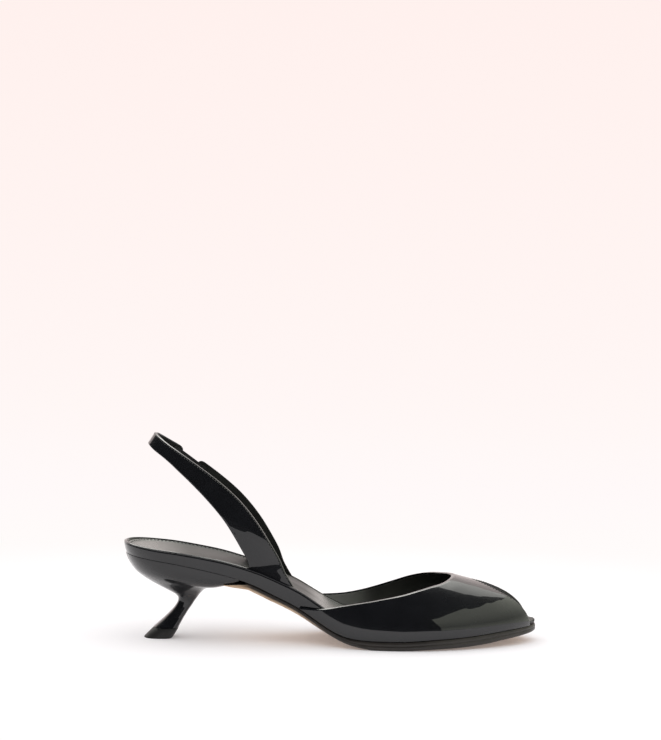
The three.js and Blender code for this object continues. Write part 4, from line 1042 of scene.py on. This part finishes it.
# A wall: out to one face, over the sloped top edge, down the other face and round the lower
# edge. outset and inset are the faces' distances from the surface.
def wallLoop(lines, outset, inset, drop, columns):
    radius = (outset + inset) / 2
    # the worked edge faces the same way all along, so it is steeper where the wall leans more
    _, topNormal = vampSurface(lines, np.zeros((1, 1)))
    toFace = np.maximum(math.radians(vamp["edgeFaces"]) - np.arcsin(topNormal[..., 2]), 0.1)
    slope = np.clip(1 / np.tan(toFace), *vamp["edgeSlopes"])
    peak = edgeUp.max() * slope * radius * 2
    fine = np.linspace(0, 1, 200)[None, :]
    surface, _ = vampSurface(lines, fine)
    run = runAlong(surface)
    total = run[:, -1:]
    firstAt = np.minimum(drop + peak, total * 0.45)
    lastAt = np.maximum(total - radius, total * 0.55)
    wanted = lerp(firstAt, lastAt, np.linspace(0, 1, columns)[None, :])
    t = np.stack([np.interp(w, r, fine[0]) for w, r in zip(wanted, run)])
    base, normal = vampSurface(lines, t)
    outer = base + normal * outset
    inner = base - normal * inset
    reach = np.minimum(1, total * 0.45 / radius)[:, :, None]
    upwards = unit(base[:, 0] - base[:, 1])[:, None]
    out = (edgeAcross * -2 * radius + outset)[None, :, None]
    up = (edgeUp * slope * radius * 2)[..., None] * reach
    topEdge = base[:, :1] + normal[:, :1] * out + upwards * up
    downwards = unit(base[:, -1] - base[:, -2])[:, None]
    turn = np.linspace(0, math.pi, 11)[1:-1]
    out = (np.cos(turn) * radius + (outset - inset) / 2)[None, :, None]
    lowEdge = base[:, -1:] + normal[:, -1:] * out + downwards * (np.sin(turn) * radius)[None, :, None] * reach
    return np.concatenate([outer[:, ::-1], topEdge, inner, lowEdge[:, ::-1]], 1)


# Vamp leather with its folded topline, and the lining inside it, whose edge stays just below.
def makeVamp():
    lines = vampLines()
    outer = wallLoop(lines, 0.0, vamp["fold"], 0.0, vamp["columns"])
    outset = vamp["liningLap"] - vamp["fold"]
    lining = wallLoop(lines, outset, vamp["wall"], vamp["liningDrop"], vamp["liningColumns"])
    for name, points, material, slot, replaces in (
        ("vamp_leather", outer, patent, "patent", ["vamp"]),
        ("vamp_lining", lining, liningLeather, None, []),
    ):
        makePiece(name, closeEnds(points), material, replaces)


def makePeepStitches():
    lines = vampLines()
    surface, normal = vampSurface(lines, np.linspace(0.6, 1, 300)[None, :])
    away = np.linalg.norm(surface - surface[:, -1:], axis=-1)
    column = np.argmin(np.abs(away - vamp["stitchInset"]), axis=1)
    rows = np.arange(len(lines))
    inPeep = lines[:, 3] * (math.pi - lines[:, 3]) > 0.02
    path, side = surface[rows, column][inPeep], normal[rows, column][inPeep]
    stitchRow("peep_stitches", path + side * 0.03, side, vamp["stitch"], thread)


makeVamp()
makePeepStitches()
print("vamp made")


# Sling: an outer strap that runs round the back of the foot, an inner strap, and the elastic
# that joins them. turn runs from a strap's foot up to where the round back starts; places are
# shares of the length, rises of the way from the footbed's edge to the sling's top.

sling = {
    "height": 117.4, "thick": 1.8, "foot": 3.5, "wide": 42.0, "round": 22.0, "lead": 1.4, "twist": 0.13,
    "footOut": 22.35, "footMix": 0.5, "twistFull": 0.15, "spread": 8.0, "spreadTo": 0.135,
    "leather": (0.9, -0.35), "lining": (-0.3, -0.9), "liningInset": 0.5, "edgeSlope": 0.5,
    "elasticFrom": 1.23, "elasticTo": 1.304, "lap": 0.045, "elasticThick": 1.2,
    "elasticShare": 0.66, "endRound": 0.024, "endTurn": 0.012, "tuck": 0.2,
    "stitchInset": 1.1, "stitch": {"length": 1.25, "pitch": 1.8, "thick": 0.26},
}
slingTable = {
    "turn": [0, 0.04, 0.08, 0.12, 0.2, 0.3, 0.4, 0.5, 0.6, 0.72],
    "topAt": [0.409, 0.401, 0.394, 0.3865, 0.3745, 0.352, 0.318, 0.278, 0.23, 0.1675],
    "topRise": [0, 0.024, 0.048, 0.075, 0.143, 0.233, 0.366, 0.499, 0.626, 0.775],
    "lowAt": [0.2995, 0.2985, 0.297, 0.2925, 0.2815, 0.2625, 0.238, 0.212, 0.1845, 0.1495],
    "lowRise": [0, 0.018, 0.044, 0.071, 0.123, 0.215, 0.325, 0.42, 0.514, 0.628],
}
backTable = {
    "toBack": [0, 0.22, 0.43, 0.65, 0.86, 1.0],
    "top": [0.775, 0.822, 0.868, 0.914, 0.963, 1.0],
    "low": [0.628, 0.692, 0.754, 0.81, 0.856, 0.894],
}
# How far a strap still leans out as its foot does, by its rise: it runs straight up, then bends
# in to hug the heel.
leanTable = {
    "rise": [0, 0.1, 0.2, 0.25, 0.3, 0.37, 0.48, 0.62, 0.75, 1],
    "lean": [0.75, 0.745, 0.755, 0.775, 0.765, 0.47, 0.0, -0.34, -0.4, -0.48],
}
leanAt = curve(leanTable, "rise", "lean", 0.008)
slingCurves = {k: curve(slingTable, "turn", k, 0.02) for k in slingTable if k != "turn"}
backCurves = {k: curve(backTable, "toBack", k, 0.02) for k in ("top", "low")}
sideEnd = slingTable["turn"][-1]


# A point of the sling's middle surface: q runs from the outer foot (0) round the back (1) to
# the inner foot (2), and share from the low edge to the top edge.
def slingPoint(q, share):
    q, share = np.broadcast_arrays(q, share)
    hand = np.where(q > 1, 1.0, -1.0)
    turn = np.where(q > 1, 2 - q, q)
    onSide = turn <= sideEnd
    angle = np.where(onSide, math.pi / 2, math.pi / 2 * (1 - turn) / (1 - sideEnd))
    toBack = np.maximum(0, np.cos(angle))
    sideTurn = np.minimum(turn, sideEnd)
    topX = slingCurves["topAt"](sideTurn) * last["length"] - sling["round"] * toBack
    lowX = slingCurves["lowAt"](sideTurn) * last["length"] - sling["round"] * toBack
    topRise = np.where(onSide, slingCurves["topRise"](turn), backCurves["top"](toBack))
    lowRise = np.where(onSide, slingCurves["lowRise"](turn), backCurves["low"](toBack))
    x = lerp(lowX, topX, share)
    lowZ = lerp(bandTop(lowX), sling["height"], lowRise)
    topZ = lerp(bandTop(topX), sling["height"], topRise)
    z = lerp(lowZ, topZ, share)
    foot = lerp(slingCurves["lowAt"](0), slingCurves["topAt"](0), share) * last["length"]
    base = halfWidth(foot, -(footbed["rim"] + last["gap"] + sling["thick"] / 2)) + hand * centre(foot)
    base = lerp(sling["footOut"], base, sling["footMix"])
    rise = lerp(lowRise, topRise, share)
    # above the foot the strap bends in along slanting lines, sooner at its top edge
    turned = rise + sling["twist"] * (share - 0.5) * ease(rise, 0, sling["twistFull"])
    # below a slanting line the foot spreads outwards, the more the nearer the top edge
    below = sling["spreadTo"] * share - rise
    spread = sling["spread"] * (below + np.sqrt(below * below + 0.0001)) / 2
    out = (lerp(sling["wide"] / 2, base, leanAt(turned)) + spread) * np.sin(angle)
    bow = np.sin(math.pi * np.clip(turn / sideEnd, 0, 1)) ** 2
    lead = np.where(hand > 0, sling["lead"] * bow, 0)
    return stack(x + lead, hand * out, z)


def slingFrame(q, share):
    h = 0.006
    along = slingPoint(np.minimum(q + h, 2), share) - slingPoint(np.maximum(q - h, 0), share)
    up = slingPoint(q, np.minimum(share + 5 * h, 1)) - slingPoint(q, np.maximum(share - 5 * h, 0))
    return unit(np.cross(up, along)), unit(up)


# A length of strap as a closed loop round its section: outer face, sloped top edge, inner face
# and round low edge, thinning to nothing at a free end. span is how far its faces stand out from
# the middle surface, inset and margin narrow it, in mm and as a share of the sling's width.
def strapPoints(
    start, end, rows, span, inset=0.0, margin=0.0, tuck=0.0, footStart=False, footEnd=False,
):
    closing = sling["endTurn"] * (1 - np.cos(np.linspace(0, math.pi / 2, 8)))
    q = np.unique(np.concatenate([np.linspace(start, end, rows), start + closing, end - closing]))
    toEnd = np.minimum(1 if footStart else q - start, 1 if footEnd else end - q)
    t = 1 - np.clip(toEnd / sling["endRound"], 0, 1)
    thin = np.sqrt(1 - (1 - np.clip(toEnd / sling["endTurn"], 0, 1)) ** 2)
    width = np.linalg.norm(slingPoint(q, 1.0) - slingPoint(q, 0.0), axis=-1)
    narrow = tuck * (1 - np.sqrt(1 - t * t)) + inset / width + margin
    thick = span[0] - span[1]
    up = edgeUp * sling["edgeSlope"] * thick
    lowS = (narrow + thick / 2 / width)[:, None]
    highS = (1 - narrow - up.max() / width)[:, None]
    face = np.linspace(0, 1, 22)
    turn = np.linspace(0, math.pi, 11)[1:-1]
    shares = np.concatenate([lerp(lowS, highS, face), highS.repeat(len(up), 1),
                             lerp(highS, lowS, face), lowS.repeat(len(turn), 1)], 1)
    still = np.zeros(len(face))
    outs = np.concatenate([still + 0.5, 0.5 - edgeAcross, still - 0.5, -np.cos(turn) / 2]) * thick
    ups = np.concatenate([still, up, still, -np.sin(turn) / 2 * thick])
    grid = np.repeat(q[:, None], shares.shape[1], 1)
    normal, upwards = slingFrame(grid, shares)
    out = sum(span) / 2 + outs[None, :] * thin[:, None]
    over = ups[None, :] * thin[:, None]
    points = slingPoint(grid, shares) + normal * out[..., None] + upwards * over[..., None]
    drop = np.array([0, 0, sling["foot"] * 0.8])
    if footStart:
        points[0] = points[1] - drop
    if footEnd:
        points[-1] = points[-2] - drop
    flow = np.stack([grid * 300, shares * width[:, None], 0 * grid], -1)
    return points, flow


def strapStitches(name, start, end):
    q = np.linspace(start, end, 400)
    width = np.linalg.norm(slingPoint(q, 1.0) - slingPoint(q, 0.0), axis=-1)
    share = 1 - sling["stitchInset"] / width
    normal, _ = slingFrame(q, share)
    path = slingPoint(q, share) + normal * (sling["thick"] / 2 + 0.02)
    stitchRow(name, path, normal, sling["stitch"], thread)


def makeSling():
    start, end = sling["elasticFrom"], sling["elasticTo"]
    for side, ends, rows, feet in (
        ("outer", (0.0, start), 420, {"footStart": True}),
        ("inner", (end, 2.0), 260, {"footEnd": True}),
    ):
        for layer, span, inset, material in (
            ("leather", sling["leather"], 0.0, strapPatent),
            ("lining", sling["lining"], sling["liningInset"], strapLining),
        ):
            points, _ = strapPoints(*ends, rows, span, inset, tuck=sling["tuck"], **feet)
            slot, replaces = ("patent", [f"sling_strap_{side}"]) if layer == "leather" else (None, [])
            makePiece(f"strap_{side}_{layer}", closeEnds(points), material, replaces)
    outset = -(sling["thick"] / 2 + last["gap"])
    band, flow = strapPoints(
        start - sling["lap"], end + sling["lap"], 120, (outset, outset - sling["elasticThick"]),
        margin=(1 - sling["elasticShare"]) / 2,
    )
    makePiece("elastic_band", band, elasticWeave, ["sling_elastic"], notes={"flow": flow})
    strapStitches("strap_outer_stitches", 0.03, start - 0.01)
    strapStitches("strap_inner_stitches", end + 0.01, 1.97)


makeSling()
print("sling made")
